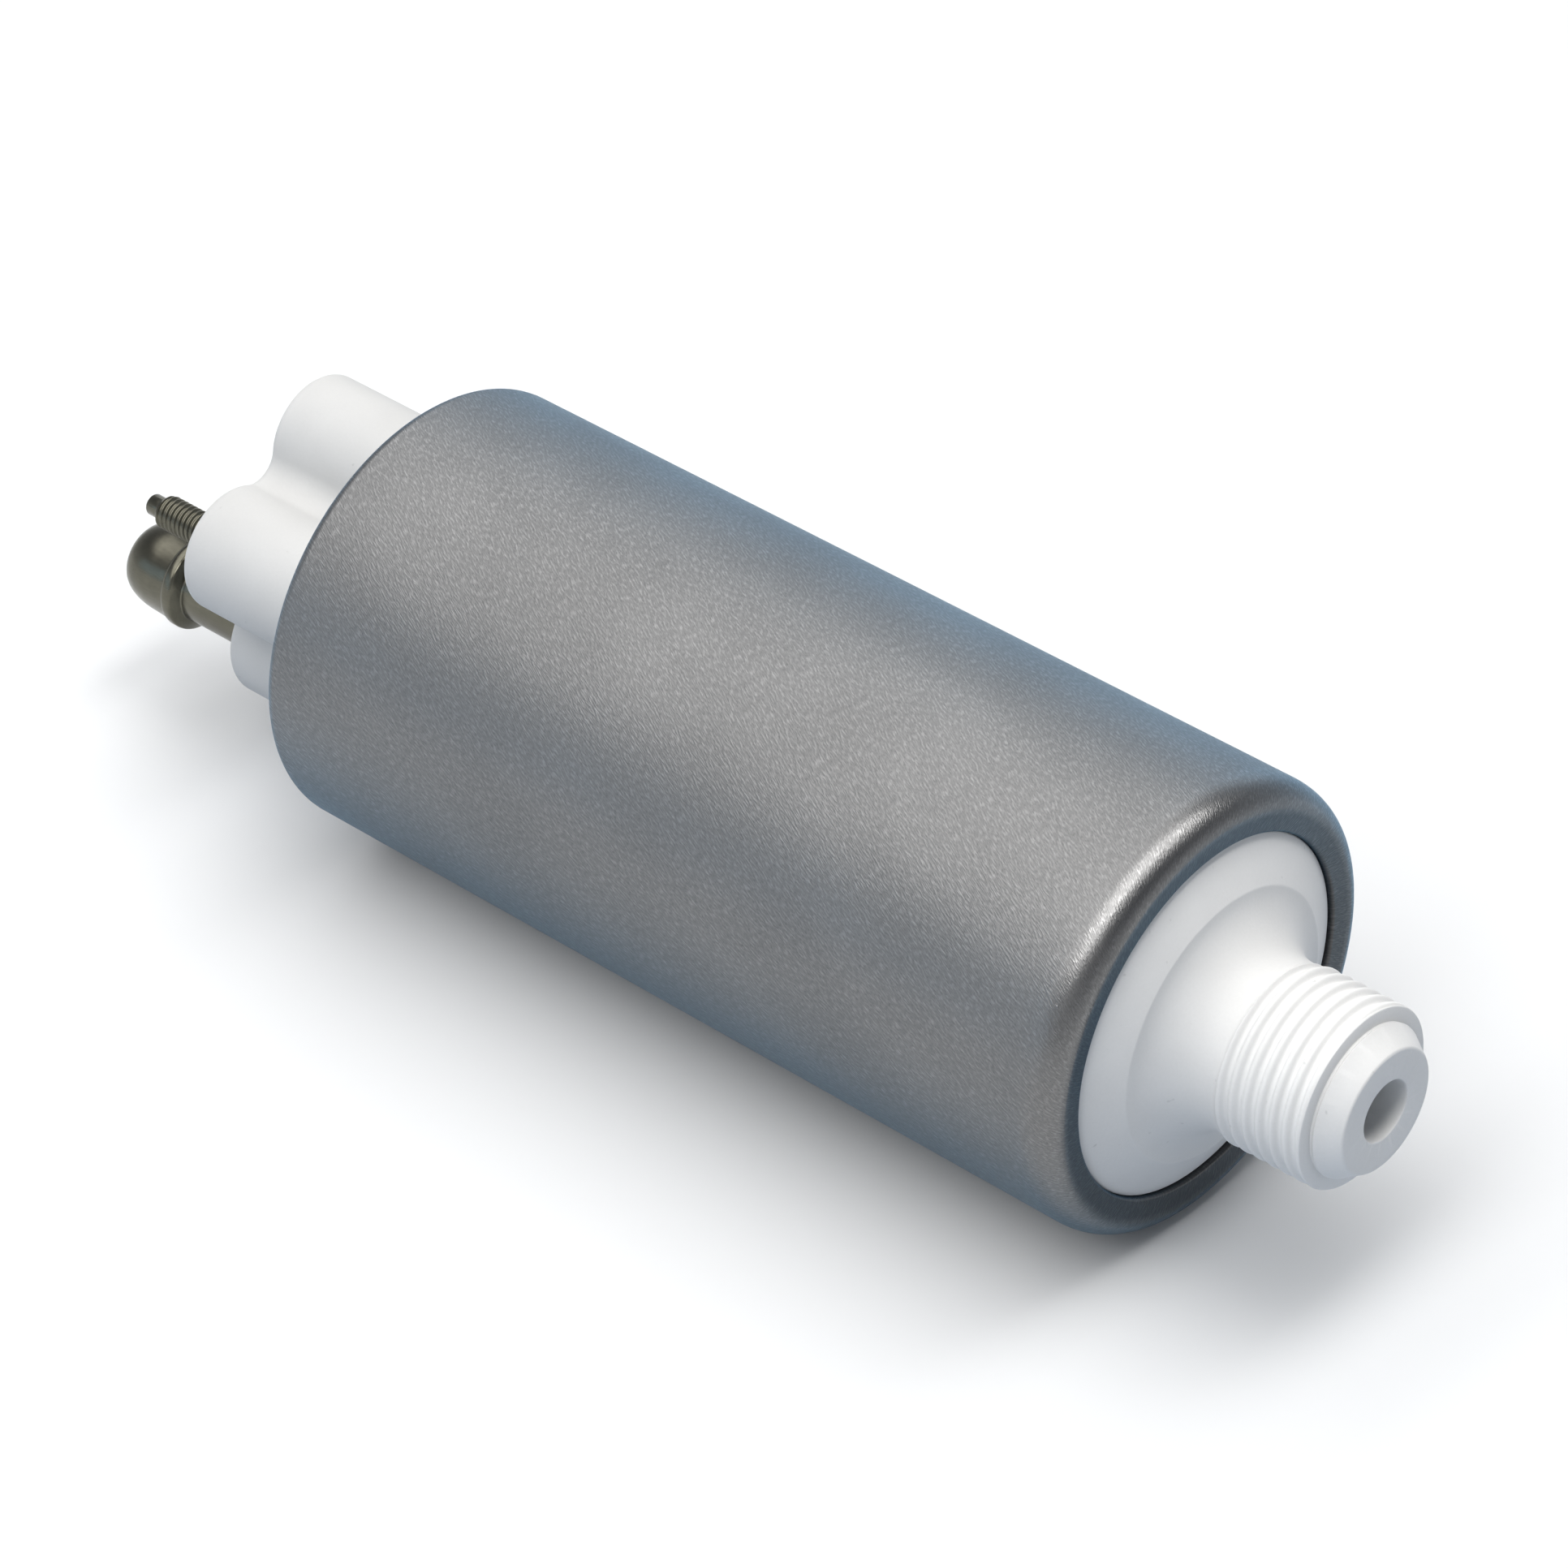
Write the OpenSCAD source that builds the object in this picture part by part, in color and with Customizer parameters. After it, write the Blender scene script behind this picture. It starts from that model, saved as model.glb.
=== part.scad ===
// Electric fuel pump: a gerotor pump and a brushed motor in a rolled steel can.
// The pump lies along X. The threaded inlet is at +X, the outlet tube and the two
// terminals are at -X, and the origin is on the axis at the middle of the can.

/* [Shell] */
// Outer diameter of the can
shell_d = 45; // [44.6:0.1:46]
// Length of the can over both rolled lips
shell_l = 96.8; // [94:0.2:104]
// Thickness of the can's wall and of its rolled lips
shell_wall = 1.6; // [1.4:0.1:1.8]
// Outer radius of the front rolled corner
front_corner_r = 2.3; // [1.8:0.1:3]
// Outer radius of the rear rolled corner
rear_corner_r = 0.8; // [0.5:0.1:1.2]
// Diameter of the hole in each rolled lip
lip_hole_d = 36.2; // [35.8:0.1:37]
// Rounding of each lip hole's outer edge
lip_edge_r = 0.5; // [0.2:0.1:0.8]

/* [Inlet cap] */
// Thickness of the cap's flange behind the front lip
inlet_flange_l = 6; // [5.6:0.1:7]
// How far the edge of the white disc lies below the front lip
disc_sink = 0.7; // [0.4:0.1:1]
// Diameter of the crease where the disc turns up into the neck
crease_d = 27.2; // [26:0.2:29]
// Height of the crease above the front lip
crease_rise = 1.5; // [1:0.1:2]
// Diameter of the neck behind the thread
neck_d = 17.2; // [16.6:0.1:17.6]
// Crest diameter of the inlet thread
thread_d = 18; // [18:0.1:18.4]
// Pitch of the inlet thread
thread_pitch = 1.5; // [1.2:0.1:1.5]
// Number of turns on the inlet thread
thread_turns = 6; // [5:1:7]
// Length of the plain neck between the flare and the thread
neck_l = 0.7; // [0.5:0.1:2]
// Length of the plain land after the last turn of the thread
thread_land_l = 0.5; // [0.3:0.1:1]
// Length of the coned nose
nose_l = 2.65; // [2:0.05:3.5]
// Diameter of the coned nose where it leaves the thread
nose_d = 15.7; // [15:0.1:16]
// Diameter of the flat face at the tip
tip_face_d = 12.2; // [10:0.1:13]
// Diameter of the inlet passage
inlet_bore_d = 6; // [5:0.1:7]
// Chamfer round the mouth of the inlet passage
inlet_chamfer = 0.3; // [0.1:0.1:0.6]
// Diameter of the chamber behind the disc
inlet_chamber_d = 30; // [26:0.5:32]
// Depth of the chamber behind the disc
inlet_chamber_l = 3; // [2:0.1:3.4]

/* [Seals] */
// Section diameter of the two rubber rings that seal the caps
seal_d = 1.76; // [1.6:0.02:1.8]
// Width of the groove that each ring lies in
seal_groove_w = 2.4; // [2.2:0.1:2.6]
// Room between a ring and the walls that it touches
seal_gap = 0.02; // [0.01:0.01:0.04]

/* [Gerotor pump] */
// Thickness of the inlet plate
inlet_plate_l = 4; // [3.6:0.1:5]
// Thickness of the eccentric ring and of the two rotors in it
ring_l = 6; // [5:0.1:7]
// Thickness of the outlet plate
outlet_plate_l = 6; // [5.6:0.1:7]
// Number of teeth on the inner rotor
inner_teeth = 6; // [5:1:6]
// Distance between the axes of the two rotors
eccentricity = 1.3; // [1.1:0.05:1.35]
// Radius of the circle that the outer rotor's lobes stand on
lobe_pitch_r = 11; // [10.9:0.05:11.2]
// Radius of each lobe of the outer rotor
lobe_r = 3.2; // [3:0.05:3.3]
// Outer diameter of the outer rotor
outer_rotor_d = 28.8; // [28.6:0.1:30]
// Room between the teeth of the two rotors
tooth_gap = 0.06; // [0.05:0.01:0.1]
// Running room round the outer rotor and at the sides of both rotors
rotor_gap = 0.04; // [0.03:0.01:0.05]
// Width of the kidney-shaped ports in the two plates
port_w = 2.6; // [2:0.1:2.8]
// Angle that each kidney-shaped port covers
port_angle = 120; // [100:5:130]
// Diameter of the two dowel pins
dowel_d = 2.5; // [2:0.1:3]
// Depth of the dowel holes in each plate
dowel_depth = 2.5; // [2:0.1:3]

/* [Motor] */
// Thickness of the steel flux ring
flux_wall = 1.8; // [1.6:0.1:2]
// Thickness of the two arc magnets
magnet_t = 4.2; // [3.8:0.1:4.6]
// Angle that each magnet covers
magnet_angle = 140; // [130:1:144]
// How far the magnets reach past each end of the armature core
magnet_overhang = 1; // [0.5:0.1:2]
// Thickness of the strip that the magnet clips are bent from
clip_t = 0.5; // [0.4:0.1:0.8]
// Air gap between the armature core and the magnets
air_gap = 0.6; // [0.4:0.1:0.8]
// Space between the outlet plate and the armature core
front_space = 8.8; // [8.4:0.1:12]
// Number of slots in the armature core
slots = 8; // [7:1:8]
// Radius of the circle that the slots lie on
slot_pitch_r = 9.4; // [9.2:0.1:9.6]
// Diameter of the round part of each slot
slot_d = 5.2; // [4.4:0.1:5.4]
// Width of each slot's opening in the rim
slot_opening = 2; // [1.6:0.1:2.4]
// Length of the end turns of the windings at each end of the core
winding_l = 4.5; // [4:0.1:5]
// Outer diameter of the end turns
winding_d = 26; // [25:0.2:27]
// Number of copper segments on the commutator
segments = 8; // [6:2:12]
// Outer diameter of the commutator
commutator_d = 26; // [25:0.2:28]
// Inner diameter of the copper segments
segment_hole_d = 11; // [10:0.1:12]
// Thickness of the commutator's moulded base
commutator_base_l = 3.5; // [3:0.1:4]
// Thickness of the copper segments
segment_l = 2.5; // [2:0.1:3]
// Width of the slits between the segments
slit_w = 0.6; // [0.4:0.1:0.8]

/* [Shaft and bearings] */
// Diameter of the shaft inside the armature
shaft_d = 6; // [5.6:0.1:6.4]
// Diameter of the front journal, which also carries the inner rotor
front_journal_d = 5; // [4.6:0.1:5.2]
// Diameter of the rear journal
rear_journal_d = 4; // [3.4:0.1:4.4]
// Running room round each journal
journal_gap = 0.03; // [0.02:0.01:0.05]
// Outer diameter of the front bush
front_bush_d = 8; // [7.4:0.1:8.6]
// How far the front bush stands out of the outlet plate
front_bush_stand = 1; // [0.6:0.1:1.4]
// Outer diameter of the rear bush
rear_bush_d = 7; // [6.4:0.1:7.4]
// Length of the rear bush
rear_bush_l = 6.4; // [5.4:0.1:6.4]
// Thickness of the thrust washer
washer_t = 0.8; // [0.5:0.1:1.2]
// Outer diameter of the thrust washer
washer_d = 8.8; // [8.4:0.1:10]
// Diameter of the drive coupling
coupling_d = 9.4; // [9:0.1:10]
// Thickness of the drive coupling
coupling_t = 2; // [1.6:0.1:2.4]
// Width of the coupling's two tangs
tang_w = 2; // [1.6:0.1:2.4]
// Length of the coupling's two tangs
tang_l = 2.2; // [1.8:0.1:2.6]
// Depth of the shaft's pocket in the inlet plate
pocket_l = 2.2; // [1.6:0.1:2.6]

/* [Outlet cap] */
// Thickness of the outlet cap's end wall inside the rear lip
outlet_wall_l = 4.5; // [4.2:0.1:5.5]
// Length of the skirt between the end wall and the flux ring
skirt_l = 6.3; // [5:0.1:7]
// Thickness of the skirt
skirt_wall = 2.4; // [2:0.1:3]
// How far the cap's boss stands past the rear lip
rear_boss_rise = 1; // [0.4:0.1:2]
// Rounding of the rear boss's edge
rear_boss_edge_r = 0.3; // [0.2:0.05:0.4]
// Length of the four towers behind the can
tower_l = 18.2; // [17.4:0.1:20]
// Chamfer round the end of each tower
tower_chamfer = 0.8; // [0.3:0.1:1]
// Radius of the fillets between neighbouring towers
tower_fillet_r = 2.4; // [2.2:0.1:3]
// Diameter of the relief valve's tower
relief_tower_d = 12.4; // [12:0.1:12.6]
// Distance of the relief valve's tower from the axis
relief_tower_r = 10.6; // [10.2:0.1:10.8]
// Diameter of the outlet tower
outlet_tower_d = 13.8; // [13.4:0.1:14]
// Distance of the outlet tower from the axis
outlet_tower_r = 10.1; // [9.8:0.1:10.3]
// Diameter of the two terminal towers
brush_tower_d = 13; // [12.6:0.1:13.4]
// Distance of the two terminal towers from the axis
brush_tower_r = 9.4; // [9.2:0.1:9.8]

/* [Brushes and terminals] */
// Width and height of the square brushes
brush_w = 5.2; // [4.6:0.1:5.4]
// Length of the brushes
brush_l = 12; // [11:0.1:12.4]
// Length of brush that shows between its guide and the commutator
brush_show = 3.5; // [3:0.1:4.5]
// Length of the brush guides inside the cap
guide_l = 7.8; // [7:0.1:8.6]
// Outer diameter of the brush guides
guide_d = 9.8; // [9.2:0.1:10]
// Room on each side of a brush in its guide
brush_gap = 0.1; // [0.06:0.01:0.12]
// Wire diameter of the brush springs
brush_wire_d = 0.5; // [0.4:0.05:0.6]
// Number of coils in each brush spring
brush_coils = 9; // [7:1:10]
// Thread diameter of the terminal studs
stud_d = 3.5; // [3:0.1:3.6]
// Thread pitch of the terminal studs
stud_pitch = 0.6; // [0.5:0.05:0.7]
// Number of thread turns on each stud outside its tower
stud_turns = 14; // [12:1:16]
// Diameter of the stud's plain point
stud_point_d = 2.2; // [1.8:0.1:2.4]
// Length of the stud's plain point
stud_point_l = 1.4; // [1:0.1:2]
// Length of the stud inside its tower
stud_hold_l = 9.6; // [8.6:0.1:10]
// Diameter of the stud's knurled shank inside its tower
stud_shank_d = 4.2; // [4:0.1:4.6]
// Diameter of the stud's head inside the tower
stud_head_d = 5; // [4.6:0.1:5.1]
// Thickness of the stud's head
stud_head_l = 1.4; // [1:0.1:1.6]

/* [Outlet tube and check valve] */
// Outer diameter of the outlet tube
tube_d = 7.4; // [7:0.1:7.8]
// Bore of the outlet tube
tube_bore_d = 5; // [4.6:0.1:5.2]
// Length of the outlet tube outside its tower
tube_l = 17.8; // [16:0.1:20]
// Diameter of the barb's crest
barb_d = 9.8; // [9:0.1:10.2]
// Distance of the barb's crest from the tower's face
barb_at = 10.4; // [9:0.1:12]
// Length of the barb's crest
barb_land_l = 1; // [0.8:0.1:1.4]
// Diameter of the tube's end
tube_end_d = 6.2; // [6:0.1:7]
// Diameter of the tube's collar inside the tower
collar_d = 9; // [8.7:0.1:9.3]
// Diameter of the valve chamber
valve_chamber_d = 8; // [7.6:0.1:8.3]
// Diameter of the passage ahead of the check valve
valve_seat_d = 4.8; // [4:0.1:5]
// Length of the passage ahead of the check valve
valve_seat_l = 5.2; // [4.6:0.1:5.6]
// Diameter of the poppet and of its rubber face
poppet_d = 6.4; // [6:0.1:6.6]
// Thickness of the poppet's head
poppet_t = 1.2; // [1:0.1:1.4]
// Thickness of the poppet's rubber face
face_t = 0.8; // [0.6:0.1:1]
// Diameter of the poppet's stem
stem_d = 1.8; // [1.4:0.1:2]
// Lift of the check valve
check_lift = 2.5; // [1.5:0.1:2.5]
// Room for the check valve's spring
check_spring_l = 5; // [4.8:0.1:5.4]
// Wire diameter of the check valve's spring
check_wire_d = 0.4; // [0.3:0.05:0.45]
// Number of coils in the check valve's spring
check_coils = 5; // [4:1:5]
// Thickness of the retainer that guides the stem
retainer_t = 1.5; // [1.2:0.1:1.8]
// Diameter of the retainer's hub
retainer_hub_d = 3.2; // [3:0.1:3.4]
// Diameter of the retainer's opening round the hub
retainer_hole_d = 5; // [4.8:0.1:5.2]

/* [Relief valve] */
// Diameter of the relief valve's ball
ball_d = 5; // [4.6:0.1:5.2]
// Diameter of the passage that the ball closes
relief_seat_d = 2.8; // [2.4:0.1:3]
// Length of the passage ahead of the ball
relief_seat_l = 4.6; // [4.2:0.1:5.4]
// Diameter of the chamber that the ball moves in
relief_chamber_d = 6.8; // [6.4:0.1:7]
// Mean diameter of the relief valve's spring
relief_coil_d = 3.8; // [3.4:0.1:4]
// Wire diameter of the relief valve's spring
relief_wire_d = 0.5; // [0.4:0.05:0.6]
// Number of coils in the relief valve's spring
relief_coils = 6; // [5:1:7]
// Diameter of the plug that closes the relief tower
plug_d = 8; // [7.6:0.1:8.4]
// Thickness of the plug
plug_l = 3.4; // [3:0.1:4]
// How far the plug lies below the tower's face
plug_sink = 0.6; // [0.3:0.1:1]
// Diameter of the vent hole through the plug
vent_d = 2.4; // [1.6:0.1:2.8]

/* [Hidden] */
$fn = 96;

// Room between pieces that are pressed or stacked together
fit_gap = 0.05;
// Room between flat or round faces of pieces that move against each other
slide_gap = 0.03;
// Length by which a cut runs past the face that it opens
over = 1;
// Depth by which fillets and round ends cut into the faces that they run out on
dip = 0.02;
// Free room between pieces that must never touch
free_gap = 0.3;
// Free room beyond the ends of pieces that move or stop short of a wall
end_gap = 0.4;

// Angles of the four towers about the axis, from +Y towards +Z
relief_angle = 72;
positive_angle = 161.5;
outlet_angle = 252;
negative_angle = 341.5;

// The can
shell_r = shell_d / 2;
bore_r = shell_r - shell_wall;
stack_r = bore_r - fit_gap;
lip_r = lip_hole_d / 2;
boss_clear = 0.6;
boss_r = lip_r - boss_clear;
x_front = shell_l / 2;
x_rear = -shell_l / 2;

// Stations along the axis, from the front to the rear
x_flange = x_front - shell_wall;
x_inlet_plate = x_flange - inlet_flange_l;
x_ring = x_inlet_plate - inlet_plate_l;
x_outlet_plate = x_ring - ring_l;
x_motor_front = x_outlet_plate - outlet_plate_l;
x_core_front = x_motor_front - front_space;
x_wall_rear = x_rear + shell_wall;
x_wall_front = x_wall_rear + outlet_wall_l;
x_motor_rear = x_wall_front + skirt_l;
x_guide = x_wall_front + guide_l;
x_commutator_face = x_guide + brush_show;
x_segments = x_commutator_face + segment_l;
x_commutator = x_segments + commutator_base_l;
commutator_gap = 0.5;
x_core_rear = x_commutator + commutator_gap + winding_l;
core_l = x_core_front - x_core_rear;
x_boss = x_rear - rear_boss_rise;
x_tower = x_rear - tower_l;

// The inlet cap's neck, thread and nose
disc_r = boss_r;
x_disc = x_front - disc_sink;
crease_r = crease_d / 2;
x_crease = x_front + crease_rise;
flare_r = crease_r - neck_d / 2;
x_neck = x_crease + flare_r;
x_thread = x_neck + neck_l;
thread_lead = (thread_d - neck_d) / 2;
x_thread_end = x_thread + thread_lead + thread_pitch * thread_turns;
x_nose = x_thread_end + thread_land_l;
x_tip = x_nose + nose_l;

// The seals lie half way along the flange and the end wall
seal_groove_depth = seal_d + 2 * seal_gap - fit_gap;
seal_centre_r = bore_r - seal_gap - seal_d / 2;
x_inlet_seal = (x_flange + x_inlet_plate) / 2;
x_outlet_seal = (x_wall_front + x_wall_rear) / 2;

// The gerotor's teeth and ports
outer_teeth = inner_teeth + 1;
outer_centre = [eccentricity, 0];
port_shift = 0.4;
port_mid_r = lobe_pitch_r - lobe_r + port_shift;
rotor_l = ring_l - 2 * rotor_gap;
root_r = lobe_pitch_r + 2 * eccentricity - lobe_r + tooth_gap;
points_per_tooth = 28;
point_crowding = 0.85;
dowel_r = (stack_r + outer_rotor_d / 2) / 2;
dowel_angles = [90, 270];

// The motor
flux_bore_r = stack_r - flux_wall;
magnet_r = flux_bore_r - fit_gap;
magnet_bore_r = magnet_r - magnet_t;
core_r = magnet_bore_r - air_gap;
clip_edge_gap = 1;
clip_angle = 180 - magnet_angle - 2 * clip_edge_gap;
clip_leg = 3.2;
winding_hole_d = 12.4;
bundle_gap = 0.15;
hub_sink = 0.5;
spacer_d = winding_hole_d - 2 * free_gap;

// The shaft and what it carries
x_coupling_seat = x_outlet_plate - coupling_t - 2 * slide_gap;
coupling_room_d = coupling_d + 2 * free_gap;
x_front_bush_end = x_motor_front - front_bush_stand;
x_washer_end = x_front_bush_end - washer_t;
x_shoulder = x_washer_end - slide_gap;
x_shaft_front = x_ring + pocket_l - end_gap;
bush_sink = 1.6;
x_bush_rear = x_wall_front - bush_sink;
x_bush_front = x_bush_rear + rear_bush_l;
bush_boss_wall = 2;
bush_boss_d = rear_bush_d + 2 * bush_boss_wall;
x_shaft_step = x_bush_front + 2 * free_gap;
x_shaft_rear = x_bush_rear + end_gap;

// The towers
relief_at = place(relief_tower_r, relief_angle);
positive_at = place(brush_tower_r, positive_angle);
outlet_at = place(outlet_tower_r, outlet_angle);
negative_at = place(brush_tower_r, negative_angle);
towers = [
    [relief_at, relief_tower_d / 2],
    [positive_at, brush_tower_d / 2],
    [outlet_at, outlet_tower_d / 2],
    [negative_at, brush_tower_d / 2]
];

// The brushes and the terminals
well_w = brush_w + 2 * brush_gap;
x_brush = x_commutator_face - slide_gap;
x_brush_back = x_brush - brush_l;
x_well_end = x_tower + stud_hold_l;
x_stud_head = x_well_end + stud_head_l;
spring_inset = 0.7;
brush_coil_d = brush_w - 2 * spring_inset;
lead_wire_d = 0.8;
lead_coil_d = 1.2;
lead_coils = 2;
x_stud_thread = x_tower - stud_pitch * stud_turns;
stud_chamfer = (stud_d - stud_point_d) / 2;
x_stud_point = x_stud_thread - stud_chamfer;
x_stud_tip = x_stud_point - stud_point_l;

// The outlet tube and the check valve
x_valve_seat = x_wall_front - valve_seat_l;
x_poppet = x_valve_seat - slide_gap - face_t;
x_poppet_back = x_poppet - poppet_t;
x_retainer = x_poppet_back - check_spring_l;
x_collar = x_retainer - retainer_t;
check_coil_d = retainer_hole_d + check_wire_d;
retainer_spokes = 3;
spoke_w = 0.9;
spoke_reach = 0.5;
stem_past = 1;
x_stem_end = x_collar - stem_past;
stem_room_wall = 0.5;
stem_room_d = tube_bore_d + 2 * stem_room_wall;
x_stem_room = x_stem_end - check_lift - over;
x_barb = x_tower - barb_at;
x_barb_end = x_barb - barb_land_l;
x_tube_end = x_tower - tube_l;
tube_rim = 0.2;
tube_end_chamfer = (tube_end_d - tube_bore_d) / 2 - tube_rim;

// The relief valve
x_relief_seat = x_wall_front - relief_seat_l;
ball_r = ball_d / 2;
x_ball = x_relief_seat + relief_seat_d / 2 - ball_r * sqrt(2) - slide_gap;
x_plug_rear = x_tower + plug_sink;
x_plug = x_plug_rear + plug_l;
x_relief_cone = x_relief_seat - (relief_chamber_d - relief_seat_d) / 2;
ball_reach = sqrt(pow(ball_r + relief_wire_d / 2 + slide_gap, 2) - pow(relief_coil_d / 2, 2));

// The point at a distance from the axis and an angle about it, as Y and Z
function place(distance, angle) = distance * [cos(angle), sin(angle)];

// Centre of the fillet circle that dips into two neighbouring towers from outside
function fillet_centre(a, b) =
    let (
        span = b[0] - a[0],
        reach = norm(span),
        to_a = a[1] + tower_fillet_r - dip,
        to_b = b[1] + tower_fillet_r - dip,
        along = (to_a * to_a - to_b * to_b + reach * reach) / (2 * reach),
        out = sqrt(to_a * to_a - along * along),
        way = span / reach
    )
    a[0] + along * way + out * [way.y, -way.x];

// Point of the inner rotor's outline: the curve that a lobe's centre traces, less the lobe.
// The points crowd together in the roots, where the outline turns most.
function rotor_point(share) =
    let (
        turn = share + point_crowding * sin(inner_teeth * share) / inner_teeth * 180 / PI,
        slow = [cos(turn), sin(turn)],
        fast = [cos(outer_teeth * turn), sin(outer_teeth * turn)],
        outward = lobe_pitch_r * slow + eccentricity * outer_teeth * fast
    )
    lobe_pitch_r * slow + eccentricity * fast - (lobe_r + tooth_gap) * outward / norm(outward);

// Stands a flat shape or a solid drawn along Z on the pump's axis, or at a place beside it
module along_x(x = 0, at = [0, 0])
    translate([x, at.x, at.y]) rotate([90, 0, 90]) children();

// Turns a half profile, radius across and X upwards, about the pump's axis
module turned(at = [0, 0]) along_x(0, at) rotate_extrude() children();

// Round bar between two stations
module rod(x_low, x_high, d, at = [0, 0])
    along_x(x_low, at) cylinder(d = d, h = x_high - x_low);

// Coned bar between two stations
module cone(x_low, x_high, d_low, d_high, at = [0, 0])
    along_x(x_low, at) cylinder(d1 = d_low, d2 = d_high, h = x_high - x_low);

// Ring between two stations
module ring(x_low, x_high, d, hole_d, at = [0, 0])
    difference() {
        rod(x_low, x_high, d, at);
        rod(x_low - over, x_high + over, hole_d, at);
    }

// Band of a ring that covers an angle about its own middle angle
module arc_band(x_low, x_high, r_low, r_high, middle, angle)
    along_x(x_low) rotate(middle - angle / 2) rotate_extrude(angle = angle)
        translate([r_low, 0]) square([r_high - r_low, x_high - x_low]);

// Square bar between two stations, turned to face the axis
module square_bar(x_low, x_high, w, at, angle)
    translate([(x_low + x_high) / 2, at.x, at.y]) rotate([angle, 0, 0])
        cube([x_high - x_low, w, w], center = true);

// The sliver outside a rounded corner at the origin, for a shape to its lower left
module corner_cut(r)
    difference() {
        translate([-r, -r]) square(r + over);
        translate([-r, -r]) circle(r);
    }

// Half profile of one ring-shaped thread groove, with its flanks opening to the crest
module groove_profile(x, pitch, d) {
    depth = 0.6 * pitch;
    crest = pitch / 8;
    root = pitch / 4;
    translate([d / 2 - depth, x])
        polygon([
            [0, -root / 2],
            [depth, crest / 2 - pitch / 2],
            [depth + over, crest / 2 - pitch / 2],
            [depth + over, pitch / 2 - crest / 2],
            [depth, pitch / 2 - crest / 2],
            [0, root / 2]
        ]);
}

// Wound wire along X: an unbroken tube swept round the coils
module coil(x_low, x_high, coil_d, wire_d, turns, at) {
    steps = 12;
    sides = 6;
    rings = turns * steps;
    climb = (x_high - x_low - wire_d) / rings;
    points = [
        for (i = [0 : rings], j = [0 : sides - 1])
            let (
                about = 360 * i / steps,
                out = coil_d / 2 + wire_d / 2 * cos(360 * j / sides)
            )
            [out * cos(about), out * sin(about), climb * i + wire_d / 2 * sin(360 * j / sides)]
    ];
    near = [for (j = [0 : sides - 1]) j];
    far = [for (j = [sides - 1 : -1 : 0]) rings * sides + j];
    walls = [
        for (i = [0 : rings - 1], j = [0 : sides - 1], half = [0, 1])
            let (
                a = i * sides + j,
                b = i * sides + (j + 1) % sides
            )
            half == 0 ? [a, a + sides, b] : [b, a + sides, b + sides]
    ];
    along_x(x_low + wire_d / 2, at)
        polyhedron(points, concat([near], walls, [far]));
}

// Steel can with a rolled lip at each end
module shell() color([0.62, 0.62, 0.61])
    turned() difference() {
        translate([lip_r, x_rear]) square([shell_r - lip_r, shell_l]);
        translate([0, x_rear + shell_wall]) square([bore_r, shell_l - 2 * shell_wall]);
        translate([shell_r, x_front]) corner_cut(front_corner_r);
        translate([shell_r, x_rear]) mirror([0, 1]) corner_cut(rear_corner_r);
        translate([lip_r, x_front]) mirror([1, 0]) corner_cut(lip_edge_r);
        translate([lip_r, x_rear]) rotate(180) corner_cut(lip_edge_r);
    }

// Half profile of the inlet cap's outside: flange, disc, flared neck, thread and nose
module inlet_profile()
    difference() {
        polygon([
            [0, x_inlet_plate], [stack_r, x_inlet_plate], [stack_r, x_flange],
            [disc_r, x_flange], [disc_r, x_disc], [crease_r, x_crease],
            [crease_r, x_neck], [neck_d / 2, x_neck], [neck_d / 2, x_thread],
            [thread_d / 2, x_thread + thread_lead], [thread_d / 2, x_nose],
            [nose_d / 2, x_nose], [tip_face_d / 2, x_tip], [0, x_tip]
        ]);
        translate([crease_r, x_neck]) circle(flare_r);
    }

// Acetal inlet cap with the threaded inlet
module inlet_cap() color([0.93, 0.93, 0.92])
    difference() {
        turned() difference() {
            inlet_profile();
            for (turn = [0 : thread_turns - 1])
                groove_profile(x_thread + thread_lead + thread_pitch * (turn + 0.5), thread_pitch, thread_d);
            translate([stack_r - seal_groove_depth, x_inlet_seal - seal_groove_w / 2])
                square([seal_groove_depth + over, seal_groove_w]);
        }
        rod(x_inlet_plate - over, x_inlet_plate + inlet_chamber_l, inlet_chamber_d);
        rod(x_inlet_plate, x_tip + over, inlet_bore_d);
        cone(x_tip - inlet_chamfer, x_tip, inlet_bore_d, inlet_bore_d + 2 * inlet_chamfer);
    }

// Rubber ring in a cap's groove
module cap_seal(x) color([0.1, 0.1, 0.1])
    turned() translate([seal_centre_r, x]) circle(d = seal_d);

module inlet_seal() cap_seal(x_inlet_seal);

module outlet_seal() cap_seal(x_outlet_seal);

// Kidney-shaped port with round ends, cut through a plate
module port(x_low, x_high, middle) {
    arc_band(x_low, x_high, port_mid_r - port_w / 2, port_mid_r + port_w / 2, middle, port_angle);
    for (end = [-0.5, 0.5])
        rod(x_low, x_high, port_w + 2 * dip, place(port_mid_r, middle + end * port_angle));
}

// Holes for both dowel pins
module dowel_holes(x_low, x_high)
    for (angle = dowel_angles)
        rod(x_low, x_high, dowel_d + 2 * fit_gap, place(dowel_r, angle));

// Sintered plate between the inlet chamber and the rotors
module inlet_plate() color([0.45, 0.45, 0.47])
    difference() {
        rod(x_ring, x_inlet_plate, 2 * stack_r);
        port(x_ring - over, x_inlet_plate + over, 270);
        rod(x_ring - over, x_ring + pocket_l, front_journal_d + 2 * free_gap);
        dowel_holes(x_ring - over, x_ring + dowel_depth);
    }

// Ring that holds the outer rotor off centre
module eccentric_ring() color([0.5, 0.5, 0.52])
    difference() {
        rod(x_outlet_plate, x_ring, 2 * stack_r);
        rod(x_outlet_plate - over, x_ring + over, outer_rotor_d + 2 * rotor_gap, outer_centre);
        dowel_holes(x_outlet_plate - over, x_ring + over);
    }

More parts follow.
